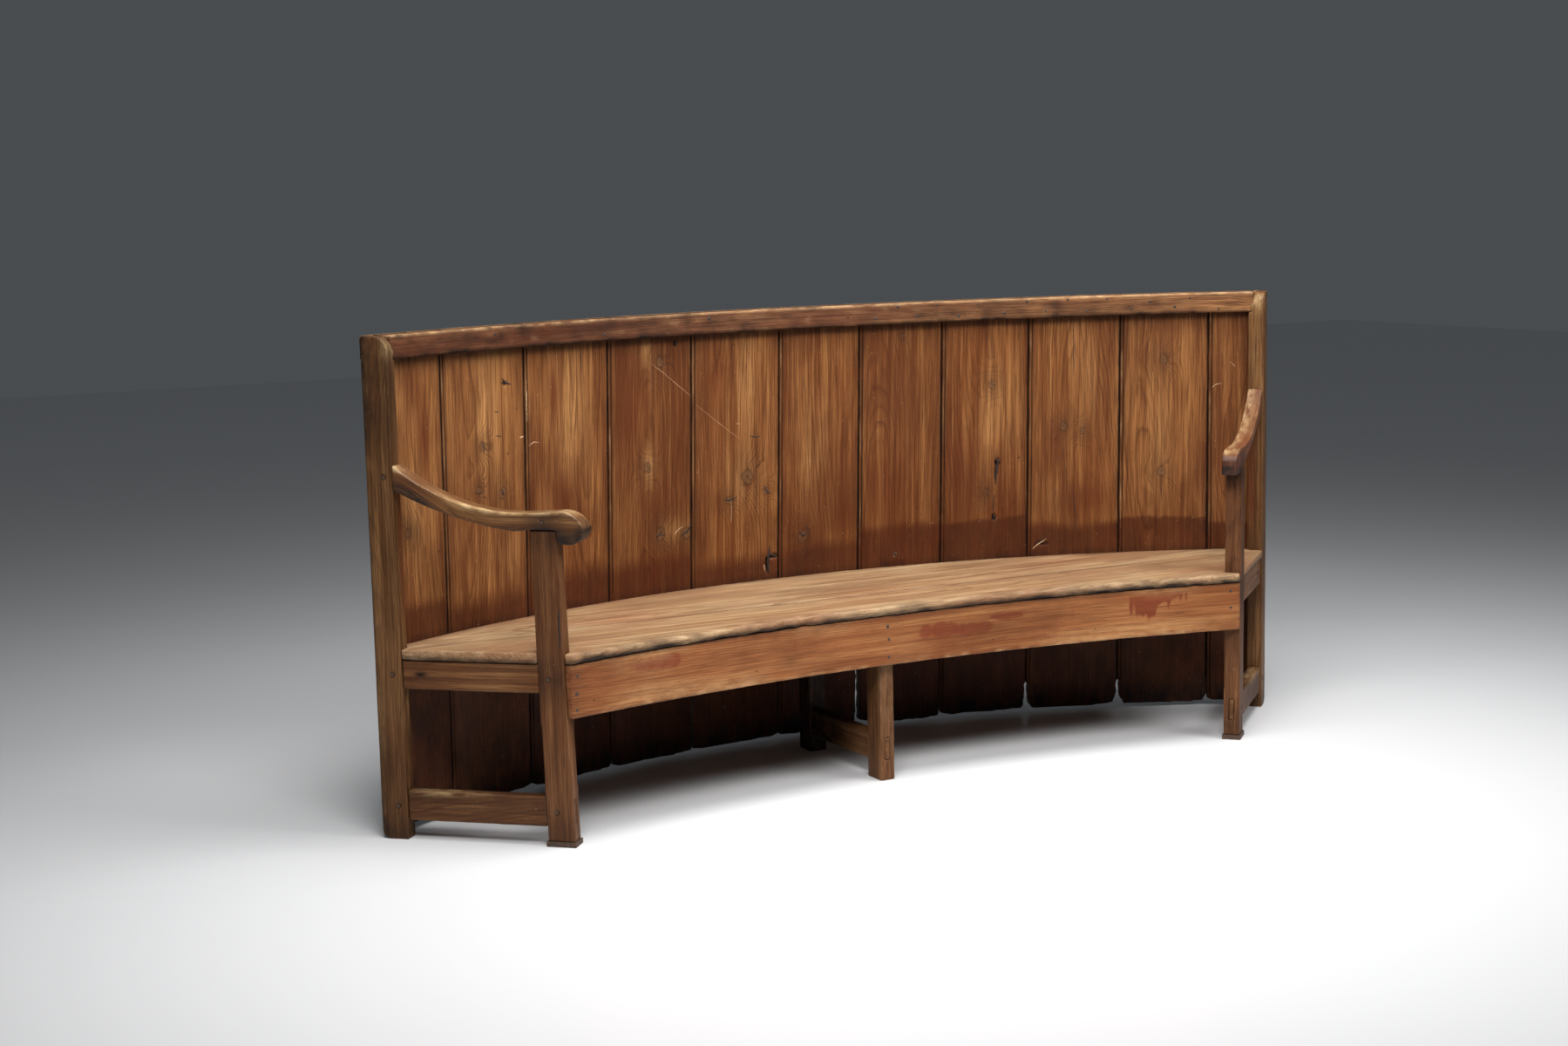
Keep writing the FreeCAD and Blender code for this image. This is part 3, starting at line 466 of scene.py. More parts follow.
def frameAxes(side):
    toe = bench["toe"]
    ahead = np.array((-side * math.sin(toe), -math.cos(toe), 0.0))
    inward = np.array((-side * math.cos(toe), math.sin(toe), 0.0))
    corner = np.array((side * bench["halfSpan"], bench["chord"], 0.0)) - ahead * bench["backLine"]
    return corner, ahead, inward


def inFrame(points, side):
    corner, ahead, inward = frameAxes(side)
    local = points - corner
    return local @ ahead, local @ inward, points[:, 2]


def blob(values, centre, size):
    return np.exp(-((values - centre) / size) ** 2)


# materials by piece

woods = {
    "boards": makePine("boardWood"),
    "rail": makePine("railWood", early=(210, 80, 34), tint=(135, 46, 20), golden=(340, 160, 70),
                     deep=(70, 22, 10), pith=0.05, ringSpacing=0.006),
    "stile": makePine("stileWood", early=(175, 78, 28), tint=(110, 44, 14), golden=(270, 135, 50),
                      deep=(50, 20, 7), late=(40, 16, 6), pale=(360, 200, 90), pith=0.04,
                      ringSpacing=0.0060, worn=(440, 280, 130)),
    "post": makePine("postWood", early=(190, 78, 29), tint=(130, 48, 17), golden=(290, 135, 52),
                     deep=(65, 24, 9), late=(48, 18, 7), pale=(380, 210, 90), pith=0.04,
                     ringSpacing=0.0062, worn=(460, 290, 140)),
    "arm": makePine("armWood", early=(205, 92, 33), tint=(125, 49, 17), golden=(310, 160, 62),
                    deep=(60, 21, 8), late=(45, 17, 6), red=(150, 34, 14), worn=(600, 420, 210),
                    pith=0.05, ringSpacing=0.0058, roughLow=0.24, roughHigh=0.44, specular=0.28),
    "apron": makePine("apronWood", early=(300, 108, 36), tint=(215, 66, 20), golden=(460, 215, 80),
                      deep=(120, 36, 12), late=(105, 32, 10), red=(150, 26, 10), pith=0.03,
                      ringSpacing=0.0058, streaks=0.75, fibre=0.7),
    "seat": makePine("seatWood", early=(405, 260, 134), tint=(320, 182, 88), golden=(560, 395, 215),
                     deep=(190, 92, 44), late=(150, 68, 32), red=(240, 75, 36), pale=(600, 430, 270),
                     worn=(560, 420, 260), dirt=(22, 12, 8), pith=0.12, ringSpacing=0.0085,
                     ringStrength=0.75, streaks=0.75, fibre=0.75, roughLow=0.30, roughHigh=0.52),
}


# back boards

# widths, feet, gaps and their tops are in millimetres, the rest in metres
boards = {
    "widths": (195.0, 270.5, 266.9, 263.8, 273.1, 246.0, 250.9, 259.8, 268.7, 256.2, 128.9),
    "feet": (16.0, 14.0, 9.0, 8.0, 9.0, 8.0, 8.0, 10.0, 8.0, 9.0, 10.0),
    "gaps": (1.2, 4.0, 3.5, 6.0, 1.2, 9.0, 5.0, 20.0, 14.0, 4.0),
    "gapTops": (60.0, 139.0, 145.0, 158.0, 60.0, 210.0, 60.0, 88.0, 84.0, 32.0),
    "bead": 0.0040,
    "quirk": 0.0020,
    "seamGap": 0.0002,
    "rag": 0.010,
    "cornerLoss": 0.005,
    "cornerReach": 0.012,
    "flareLeast": 0.0015,
    "flareMore": 0.0035,
    "flareTop": 0.036,
    "beadRise": 0.8,
    "quirkDeep": 1.1,
    "columnStep": 0.0036,
    "rowStep": 0.0050,
    "shrunk": 0.0038,
    "shrunkDeep": 0.0055,
    "tones": (0.45, 0.55, -0.25, -0.75, 0.10, -0.20, -0.50, -0.05, 0.10, 0.35, 0.20),
    "stainTops": (0.553, 0.540, 0.575, 0.562, 0.533, 0.548, 0.574, 0.571, 0.552, 0.550, 0.540),
    "stainSoft": (0.030, 0.050, 0.060, 0.045, 0.040, 0.040, 0.030, 0.010, 0.030, 0.008, 0.014),
}

# rows of these tables start with the board's number, and lengths are in millimetres
# knots: across from the left seam, height, size
knots = (
    (1, 68, 715, 13), (2, 128, 896, 12), (2, 110, 791, 10), (2, 190, 774, 14), (4, 163, 1064, 16),
    (4, 123, 791, 15), (4, 161, 615, 18), (4, 245, 605, 18), (5, 172, 738, 22), (5, 115, 682, 12),
    (5, 230, 698, 11), (6, 74, 563, 17), (7, 110, 488, 10), (7, 128, 1095, 6), (8, 147, 948, 13),
    (8, 131, 645, 12), (9, 103, 821, 14), (9, 160, 807, 10), (10, 126, 1001, 16), (10, 121, 682, 15),
)
# pale patches: across, height, half width, half height, strength in thousandths
palePatches = (
    (1, 76, 760, 30, 100, 900), (2, 145, 984, 35, 160, 1000), (2, 200, 600, 50, 70, 700),
    (3, 147, 962, 50, 160, 800), (4, 117, 1090, 20, 40, 900), (4, 123, 795, 18, 50, 1000),
    (4, 215, 620, 50, 30, 1000), (5, 166, 991, 30, 160, 800), (5, 153, 746, 50, 70, 600),
    (6, 102, 789, 30, 140, 900), (8, 163, 877, 50, 120, 500), (9, 93, 600, 40, 90, 500),
    (10, 115, 784, 30, 200, 500), (9, 179, 964, 40, 120, 500), (1, 50, 1050, 40, 100, 400),
)
# reddish patches, written the same way
redPatches = (
    (1, 135, 940, 20, 100, 800), (1, 100, 1060, 30, 60, 500), (3, 92, 1010, 12, 70, 1000),
    (3, 123, 732, 22, 60, 1000), (4, 66, 947, 50, 140, 600), (5, 71, 1020, 40, 50, 500),
    (5, 175, 732, 14, 25, 1000), (5, 153, 800, 12, 60, 600), (6, 176, 950, 30, 80, 400),
    (7, 92, 675, 80, 100, 500), (8, 52, 711, 30, 80, 600), (9, 182, 617, 80, 60, 800),
    (10, 240, 730, 20, 120, 600), (6, 200, 620, 50, 60, 600), (8, 200, 600, 50, 50, 500),
)
# holes and lost flakes: across, height, half width, half height, depth
hollows = (
    (4, 210, 1111, 5, 8, 6), (5, 236, 492, 6, 24, 7), (5, 256, 516, 14, 5, 6), (8, 166, 728, 6, 13, 7),
    (8, 162, 700, 4, 17, 6), (8, 158, 574, 6, 10, 6), (9, 40, 490, 20, 5, 3), (2, 204, 1044, 10, 4, 3),
)


def metres(rows):
    return [[value / 1000.0 for value in row] for row in rows]


def rowsFor(table, number):
    return metres(row[1:] for row in table if row[0] == number)


def planArc(bow):
    radius = (bench["halfSpan"] ** 2 + bow ** 2) / (2.0 * bow)
    return radius, bench["chord"] + bow - radius, math.asin(bench["halfSpan"] / radius)


def bowAt(height):
    return bench["footBow"] + (bench["topBow"] - bench["footBow"]) * height / bench["tall"]


seatRadius, seatCentre, seatAngle = planArc(bowAt(bench["seatTop"]))
arcLength = 2.0 * seatAngle * seatRadius


def seamShares():
    edge = bench["edgeInset"] / arcLength
    total = sum(boards["widths"])
    shares = [edge]
    for width in boards["widths"]:
        shares.append(shares[-1] + (1.0 - 2.0 * edge) * width / total)
    return shares


shares = seamShares()


def seamLine(share, heights):
    ends = []
    for bow in (bench["footBow"], bench["topBow"]):
        radius, centre, angle = planArc(bow)
        turn = angle * (2.0 * share - 1.0)
        ends.append(np.array((radius * math.sin(turn), centre + radius * math.cos(turn), 0.0)))
    t = (heights / bench["tall"])[:, None]
    return ends[0] * (1.0 - t) + ends[1] * t


def frontProfile(width):
    # across and depth of a board's front face: bead, quirk, flat, then the shrunken seam
    bead = boards["bead"]
    rise = bead * boards["beadRise"]
    quirkDeep = bead * boards["quirkDeep"]
    gap = boards["seamGap"]
    path = [(gap, rise * 2.0)]
    for step in range(9):
        turn = math.pi * step / 8.0
        path.append((gap + bead - bead * math.cos(turn), rise - rise * math.sin(turn)))
    edge = gap + 2.0 * bead
    path += [(edge + 0.0004, quirkDeep), (edge + boards["quirk"], quirkDeep),
             (edge + boards["quirk"] + 0.0006, 0.0004)]
    first = edge + boards["quirk"] + 0.0015
    last = width - gap - boards["shrunk"]
    columns = int((last - first) / boards["columnStep"])
    for step in range(columns + 1):
        path.append((first + (last - first) * step / columns, 0.0))
    path += [(last + 0.0005, 0.0012), (last + 0.0008, boards["shrunkDeep"]),
             (width - gap, boards["shrunkDeep"])]
    return np.array(path)


def hollowShape(u, z, x, h, halfWide, halfTall, seed):
    # a ragged oval, deepest in its middle
    place = stacked(u, z, seed * 1.3)
    bend = softNoise(place, (160.0, 110.0, 1.0), 51).reshape(np.shape(u))
    reach = np.sqrt(((u - x + bend * halfWide * 0.5) / halfWide) ** 2 + ((z - h) / halfTall) ** 2)
    return smoothStep(1.15, 0.75, reach + 0.25 * bend)


def faceWave(across, heights, number):
    # slight cupping and the carpenter's plane, always into the wood
    flat = stacked(across, heights, number * 2.1)
    cup = softNoise(flat, (14.0, 2.2, 1.0), 11) * 0.0005
    return cup + softNoise(flat, (55.0, 6.0, 1.0), 12) * 0.00025 + 0.0007


def footLine(across, width, number):
    # ragged foot: shallow waves with a few broken bites, and rounded corners
    row = stacked(across, number * 3.7, 0.0)
    rag = 0.5 + 0.5 * softNoise(row, (22.0, 1.0, 1.0), number)
    rag = rag * 0.5 + 0.25 * (1.0 + softNoise(row, (70.0, 1.0, 1.0), number + 40))
    bite = capped(softNoise(row, (9.0, 1.0, 1.0), number + 80) - 0.35) * 1.6
    reach = boards["cornerReach"]
    corner = np.exp(-across / reach) + np.exp(-(width - across) / reach)
    foot = boards["feet"][number - 1] / 1000.0
    worn = boards["cornerLoss"] * capped(corner) * (0.4 + 0.6 * rag)
    return foot + boards["rag"] * (0.8 * rag + bite) + worn


def seamLoss(heights, side, index):
    # worn seam edges low down, in steps as splinters have come away
    if index < 1 or index > len(boards["gaps"]):
        return np.zeros_like(heights)
    reach = boards["gaps"][index - 1] / 2000.0
    top = boards["gapTops"][index - 1] / 1000.0
    level = stacked(heights, index * 5.3 + side, 0.0)
    jag = softNoise(level, (60.0, 1.0, 1.0), 7).reshape(heights.shape)
    chip = softNoise(level, (210.0, 1.0, 1.0), 8).reshape(heights.shape)
    step = np.floor(np.clip((top - heights) / top * 3.999 + 0.6 * jag, 0, 3.0)) / 3.0
    ease = smoothStep(top, top - 0.006, heights)
    flare = boards["flareLeast"] + boards["flareMore"] * abs(math.sin(index * 2.3))
    flare = flare * smoothStep(boards["flareTop"], 0.010, heights) * (1.0 + jag + chip)
    return reach * ease * (0.45 + 0.65 * step) * (1.0 + 0.35 * jag) + flare


def boardMarks(number, width, u, z, depth):
    place = stacked(u, z, number * 1.7)
    pale = np.zeros(len(u))
    red = np.zeros(len(u))
    wobble = softNoise(place, (30.0, 6.0, 1.0), 21) * 0.4
    for target, patches in ((pale, palePatches), (red, redPatches)):
        for x, h, halfWide, halfTall, strength in rowsFor(patches, number):
            reach = ((u - x) / halfWide) ** 2 + ((z - h) / halfTall) ** 2
            target += strength * np.exp(-reach * (1.0 + wobble))
    # a soaked band above the seat with an uneven top
    edge = boards["stainTops"][number - 1] + 0.010 * softNoise(place, (7.0, 0.5, 1.0), 31) \
        + 0.004 * softNoise(place, (45.0, 3.0, 1.0), 32)
    soft = boards["stainSoft"][number - 1]
    band = smoothStep(edge + soft * 0.3, edge - soft, z)
    blotch = 0.5 + 0.5 * softNoise(place, (12.0, 9.0, 1.0), 33)
    red = np.maximum(red, band * (0.78 + 0.22 * blotch))
    # hands and cloths miss the edges, so the wax there is darker
    seam = 0.55 * np.exp(-u / 0.012) + 0.50 * np.exp(-(width - u) / 0.014)
    gap = boards["seamGap"]
    shrunk = width - boards["shrunk"]
    quirk = 2.0 * boards["bead"] + gap + boards["quirk"] * 0.5
    dirt = np.maximum.reduce((
        band * (0.22 + 0.25 * blotch),
        smoothStep(0.505, 0.456, z) * (0.35 + 0.35 * blotch),
        # painted shade under the seat: the boards are darker below the seat and much darker near the
        # floor, where there is also real grime
        smoothStep(0.462, 0.440, z) * 0.40,  # below the seat
        smoothStep(0.16, 0.02, z) * 0.90,  # near the floor
        capped(seam) * (0.55 + 0.45 * blotch),
        smoothStep(shrunk - 0.0012, shrunk, u),
        # painted shadow of the top rail on the boards
        smoothStep(1.100, 1.128, z) * 0.60,  # under the top rail
        # painted shade in the quirk groove beside each bead
        blob(u, quirk, 0.0020) * 0.90,
        smoothStep(0.0022, 0.0008, u),
    ))
    # a pale line on each bead's crest: partly wear, partly painted highlight
    crestWearAndSheen = blob(u, gap + boards["bead"], 0.0022)
    wearAndSheen = crestWearAndSheen * capped(0.05 + 0.55 * softNoise(place, (1.0, 16.0, 1.0), 34)) * smoothStep(0.45, 0.6, z)
    shiftRings = np.zeros(len(u))
    core = np.zeros(len(u))
    for x, h, size in rowsFor(knots, number):
        bend = 0.25 * size * softNoise(place, (90.0, 60.0, 1.0), 35)
        away = np.sqrt(((u - x + bend) / size) ** 2 + ((z - h + bend) / (size * 1.2)) ** 2)
        shiftRings += 5.0 * np.exp(-(away / 2.4) ** 2)
        core = np.maximum(core, capped(1.15 - away))
        dirt = np.maximum(dirt, 0.30 * np.exp(-(away / 2.6) ** 2))  # the wood about a knot is stained
    for x, h, halfWide, halfTall, _ in rowsFor(hollows, number):
        dirt = np.maximum(dirt, hollowShape(u, z, x, h, halfWide * 1.05, halfTall * 1.05, number))
    dirt = np.where(depth > bench["boardThick"] * 0.9, np.maximum(dirt, 0.35), dirt)
    return stacked(pale, dirt, red, wearAndSheen), stacked(shiftRings, core, boards["tones"][number - 1])


def buildBoard(number):
    width = arcLength * (shares[number] - shares[number - 1])
    thick = bench["boardThick"]
    tall = bench["tall"]
    gap = boards["seamGap"]
    front = frontProfile(width)
    across = np.concatenate((front[:, 0], [width - gap, width * 0.75, width * 0.5, width * 0.25, gap]))
    depth = np.concatenate((front[:, 1], [thick] * 5))
    onFront = depth[None, :] < thick * 0.9
    columns = len(across)
    rows = int((tall - boards["feet"][number - 1] / 1000.0) / boards["rowStep"])
    spread = np.linspace(0.0, 1.0, rows)
    spread = np.concatenate((spread[:1], [0.0015, 0.0035], spread[1:]))
    rows = len(spread)
    foot = footLine(across, width, number)
    heights = foot[None, :] + (tall - foot[None, :]) * spread[:, None]

    leftLoss = seamLoss(heights, 0, number - 1)
    rightLoss = seamLoss(heights, 1, number)
    usable = width - 2.0 * gap
    u = gap + leftLoss + (across[None, :] - gap) / usable * (usable - leftLoss - rightLoss)
    lowBead = 1.0 - smoothStep(0.0, 0.002, leftLoss)
    into = depth[None, :] * lowBead + faceWave(u, heights, number).reshape(heights.shape)
    for x, h, halfWide, halfTall, deep in rowsFor(hollows, number):
        into = into + deep * hollowShape(u, heights, x, h, halfWide, halfTall, number)
    into = np.where(onFront, into, depth[None, :]).ravel()
    u = u.ravel()
    z = heights.ravel()

    low = seamLine(shares[number - 1], z)
    along = seamLine(shares[number], z) - low
    unit = unitRows(along)
    outward = stacked(-unit[:, 1], unit[:, 0], 0.0)
    points = low + along * (u / width)[:, None] + outward * into[:, None]
    points[:, 2] = z

    faces = []
    for row in range(0, (rows - 1) * columns, columns):
        for column in range(columns):
            other = (column + 1) % columns
            faces.append((row + column, row + other, row + columns + other, row + columns + column))
    faces.append(tuple(range(columns - 1, -1, -1)))
    faces.append(tuple(range((rows - 1) * columns, rows * columns)))
    mesh = bpy.data.meshes.new("board")
    mesh.from_pydata(points.tolist(), [], faces)
    mesh.validate()
    mesh.update()

    depths = np.tile(depth, rows)
    grain = stacked(u - width * (0.5 + 0.28 * math.sin(number * 2.4)),
                    depths + 0.045 * math.cos(number * 1.9), z + number * 3.13)
    marks, knotted = boardMarks(number, width, u, z, depths)
    setMarks(mesh, grain, marks, knotted)
    addObject("board_%02d" % number, mesh, woods["boards"], ("back_board_%02d" % number,))


tongue = {
    "half": 0.008,
    "thick": 0.005,
    "above": 0.004,
    "below": 0.030,
    "rows": 24,
}


def buildTongues():
    # tongues close the seams above the decayed gaps, so no light shows between the boards
    strips = []
    for index in range(1, len(shares) - 1):
        foot = boards["gapTops"][index - 1] / 1000.0 + tongue["above"]
        heights = np.linspace(foot, bench["tall"] - tongue["below"], tongue["rows"])
        along = seamLine(shares[index + 1], heights) - seamLine(shares[index - 1], heights)
        unit = unitRows(along)
        inside = stacked(-unit[:, 1], unit[:, 0], 0.0)
        centre = seamLine(shares[index], heights) + inside * bench["boardThick"] * 0.5
        centre[:, 2] = heights
        side = unit * tongue["half"]
        thick = inside * tongue["thick"] * 0.5
        strips.append(np.stack((centre - side - thick, centre + side - thick, centre + side + thick,
                                centre - side + thick), axis=1))
    mesh = stripMesh("tongues", strips)
    points = readRows(mesh.vertices, "co")
    setMarks(mesh, points, np.tile((0.0, 0.85, 0.2, 0.0), (len(points), 1)))
    addObject("seam_tongues", mesh, woods["boards"])


for number in range(1, len(boards["widths"]) + 1):
    buildBoard(number)
buildTongues()
print("boards built")


# end frames

ends = {
    "voxel": 0.0032,
    "dent": 0.0007,
    "armLow": 0.76,
    "armRise": 0.10,
}


def finishPiece(node, wood, grainOf, marksOf, name=None, voxel=ends["voxel"], soften=2,
                dent=ends["dent"], seed=1, hew=None):
    mesh = wornCopy(node, voxel, soften)
    wearAndSheen = capped(edgeWear(mesh) * 2.2 - 0.15)
    points = wearDown(mesh, seed, dent)
    if hew:
        points = hew(points)
        mesh.vertices.foreach_set("co", points.ravel())
        mesh.update()
    pale, dirt, red, extraWear = marksOf(points)
    wearAndSheen = capped(wearAndSheen * (0.55 + 0.45 * softNoise(points, 14.0, seed + 5)) + extraWear)
    setMarks(mesh, grainOf(points), stacked(pale, dirt, red, wearAndSheen))
    addObject(name or node + "_worn", mesh, woods[wood], (node,))


def buildEnd(word, side):
    seed = 100 if side < 0 else 200
    left = side < 0

    def upright(points):
        a, b, z = inFrame(points, side)
        return stacked(a, b, z + seed * 0.13)

    def level(points):
        a, b, z = inFrame(points, side)
        return stacked(z, b, a + seed * 0.31)

    def stileMarks(points):
        a, b, z = inFrame(points, side)
        patch = softNoise(points, (6.0, 6.0, 2.5), seed + 9)
        fine = softNoise(points, (38.0, 38.0, 9.0), seed + 10)
        high = smoothStep(0.80, 1.05, z)
        dirt = (0.48 if left else -0.2) * high + 0.30 * capped(patch) + 0.45 * blob(z, 0.02, 0.03)
        dirt += 0.40 * smoothStep(0.026, 0.0, a)
        # painted shade: the inner face below the seat is darker
        dirt += 0.5 * smoothStep(0.036, 0.046, b) * smoothStep(0.45, 0.40, z)
        dirt += 0.25 * smoothStep(0.45, 0.75, z) * smoothStep(0.80, 0.70, z) * capped(fine)
        red = 0.8 * smoothStep(0.008, 0.03, b) * smoothStep(0.05, 0.066, a) * smoothStep(0.45, 0.6, z)
        red *= smoothStep(0.95, 0.85, z)
        wearAndSheen = 0.7 * blob(z, 1.165, 0.03) * smoothStep(0.04, 0.066, a)
        wearAndSheen += 0.55 * capped(fine) * smoothStep(0.46, 0.30, z) * smoothStep(0.045, 0.0, a)
        wearAndSheen += 0.45 * capped(fine) * smoothStep(0.036, 0.046, b) * smoothStep(0.46, 0.30, z)
        return 0.5 * capped(-patch), capped(dirt), red, wearAndSheen

    def postMarks(points):
        a, _, z = inFrame(points, side)
        patch = softNoise(points, (7.0, 7.0, 2.0), seed + 19)
        # the band just below the arm is painted shade under the arm
        dirt = 0.35 * capped(patch) + 0.40 * blob(z, 0.03, 0.05) + 0.5 * blob(z, 0.725, 0.035)
        dirt += 0.45 * blob(z, 0.400, 0.045) * capped(0.4 + patch)
        # painted shade: the post's back part below the seat is darker
        dirt += 0.45 * smoothStep(0.395, 0.375, a + 0.027 * z) * smoothStep(0.43, 0.36, z)
        return 0.5 * capped(-patch), dirt, 0.4 * capped(patch), 0.0

    def railMarks(points):
        a, b, z = inFrame(points, side)
        patch = softNoise(points, (9.0, 9.0, 9.0), seed + 29)
        # painted shade: the inner face, under the seat, is darker
        dirt = 0.30 * capped(patch) + 0.55 * smoothStep(0.020, 0.034, b)
        dirt += 0.95 * blob(a, 0.112, 0.016) * blob(z, 0.397, 0.006)
        # darker along the bottom edge; the darker top edge is painted shade under the seat board
        dirt += 0.35 * smoothStep(0.366, 0.361, z) + 0.45 * smoothStep(0.422, 0.430, z)
        return 0.5 * capped(-patch), dirt, 0.3 * capped(patch), 0.0

    def stretcherMarks(points):
        a, b, z = inFrame(points, side)
        patch = softNoise(points, (9.0, 9.0, 9.0), seed + 39)
        # painted shade: the inner face, under the seat, is darker than the rest
        dirt = 0.30 + 0.25 * patch + 0.4 * smoothStep(0.020, 0.034, b)
        wearAndSheen = 0.9 * smoothStep(0.100, 0.118, z + 0.006 * patch) * blob(a, 0.16, 0.09)
        return 0.3 * capped(-patch), capped(dirt), 0.3 * capped(patch), wearAndSheen

    def armLine(ahead):
        # the arm's middle sweeps down from the stile
        return ends["armLow"] + ends["armRise"] * smoothStep(0.36, 0.06, ahead) ** 2

    def armGrain(points):
        a, b, z = inFrame(points, side)
        line = armLine(a)
        return stacked(z - line, b, a + seed * 0.17)

    def armMarks(points):
        a, b, z = inFrame(points, side)
        line = armLine(a)
        patch = softNoise(points, 12.0, seed + 49)
        fine = softNoise(points, 55.0, seed + 50)
        top = smoothStep(0.010, 0.026, z - line)
        arris = top * blob(b, 0.0 if left else 0.035, 0.012)
        wearAndSheen = arris * (0.75 + 0.5 * fine) + 0.45 * top * capped(0.2 + patch)
        wearAndSheen += 0.5 * top * blob(a, 0.49, 0.03)
        # painted shade: the arm's sides are darker below its middle line
        dirt = 0.80 * smoothStep(-0.006, -0.026, z - line) + 0.30 * capped(patch)
        dirt += 0.55 * blob(a, 0.43, 0.045) * (1 - top) + 0.55 * smoothStep(0.500, 0.528, a) * (1 - top)
        red = 0.35 * capped(patch) if left else 0.75 - 0.35 * patch
        wearAndSheen = wearAndSheen if left else 0.45 * wearAndSheen
        return 0.5 * capped(-patch), capped(dirt), capped(red), capped(wearAndSheen)

    finishPiece(word + "_stile", "stile", upright, stileMarks, seed=seed)
    finishPiece(word + "_front_post", "post", upright, postMarks, word + "_post_worn",
                seed=seed + 1)
    finishPiece(word + "_seat_rail", "post", level, railMarks, seed=seed + 2)
    finishPiece(word + "_stretcher", "post", level, stretcherMarks, seed=seed + 3)
    finishPiece(word + "_arm", "arm", armGrain, armMarks, voxel=0.0026, soften=4, seed=seed + 4)


buildEnd("left", -1)
buildEnd("right", 1)
print("end frames built")


# top rails, apron, seat, middle frame

def fromCentre(points, centre):
    return np.hypot(points[:, 0], points[:, 1] - centre)


topRadius, topCentre, _ = planArc(bench["topBow"])
apron = {
    "half": 0.9787,
    "endSet": 0.3139,
    "bow": 0.1245,
}
apronRadius = (apron["half"] ** 2 + apron["bow"] ** 2) / (2.0 * apron["bow"])
apronCentre = bench["chord"] - apron["endSet"] + apron["bow"] - apronRadius


def bentGrain(centre, radius, shift):
    def grainOf(points):
        turn = np.arctan2(points[:, 0], points[:, 1] - centre)
        return stacked(points[:, 2], fromCentre(points, centre) - radius, turn * radius + shift)
    return grainOf


def topRailMarks(points):
    z = points[:, 2]
    patch = softNoise(points, (5.0, 5.0, 20.0), 301)
    left = smoothStep(0.1, -0.9, points[:, 0])
    fine = softNoise(points, (30.0, 30.0, 60.0), 302)
    dirt = 0.28 + 0.25 * patch + 0.20 * left - 0.15 * smoothStep(0.2, 1.0, points[:, 0])
    dirt = dirt + 0.45 * smoothStep(1.142, 1.130, z) + 0.35 * capped(fine)
    wearAndSheen = smoothStep(1.176, 1.184, z) * (0.80 + 0.5 * fine) + 0.35 * capped(-fine - 0.35)
    red = 0.5 * left
    return 0.45 * smoothStep(0.0, 0.8, points[:, 0]), capped(dirt), red, capped(wearAndSheen)


def apronMarks(points):
    away = fromCentre(points, apronCentre)
    x = points[:, 0]
    z = points[:, 2]
    patch = softNoise(points, (4.0, 4.0, 16.0), 311)
    fine = softNoise(points, (40.0, 40.0, 12.0), 312)
    red = np.zeros(len(points))
    rough = softNoise(points, (90.0, 90.0, 60.0), 313)
    for place, height, wide, high in ((0.103, 0.379, 0.065, 0.022), (0.206, 0.371, 0.055, 0.018),
                                      (-0.72, 0.400, 0.08, 0.018), (0.30, 0.395, 0.05, 0.010)):
        reach = ((x - place) / wide) ** 2 + ((z - height) / high) ** 2 + 0.5 * fine + 0.25 * rough
        red += 0.95 * smoothStep(1.2, 0.5, reach)
    # paint that ran down from the seat
    runs = softNoise(points, (120.0, 120.0, 13.0), 314)
    spill = blob(x, 0.715, 0.055) * smoothStep(0.325, 0.405, z)
    spill += 0.6 * blob(x, 0.775, 0.05) * smoothStep(0.375, 0.412, z)
    red += 1.2 * smoothStep(0.38, 0.62, spill + 0.5 * runs) * smoothStep(0.420, 0.408, z)
    # painted shade: darker along the top edge under the seat's nose, and behind the front face under the
    # seat
    dirt = 0.22 * capped(patch) + 0.60 * smoothStep(0.421, 0.430, z)
    dirt += 0.8 * smoothStep(apronRadius + 0.012, apronRadius + 0.020, away)
    dirt += 0.35 * smoothStep(0.312, 0.304, z) * capped(fine) + 0.25 * smoothStep(-0.90, -0.98, x)
    dirt += 0.30 * blob(x, -0.338, 0.03) * blob(z, 0.357, 0.02)
    wearAndSheen = 0.30 * capped(-patch) + 0.5 * smoothStep(0.318, 0.306, z) * capped(-fine)
    return 0.55 * capped(-patch), capped(dirt), capped(red), wearAndSheen


def seatGrain(points):
    return stacked(points[:, 1] + 0.03, points[:, 2] - 0.43, points[:, 0] + 7.7)


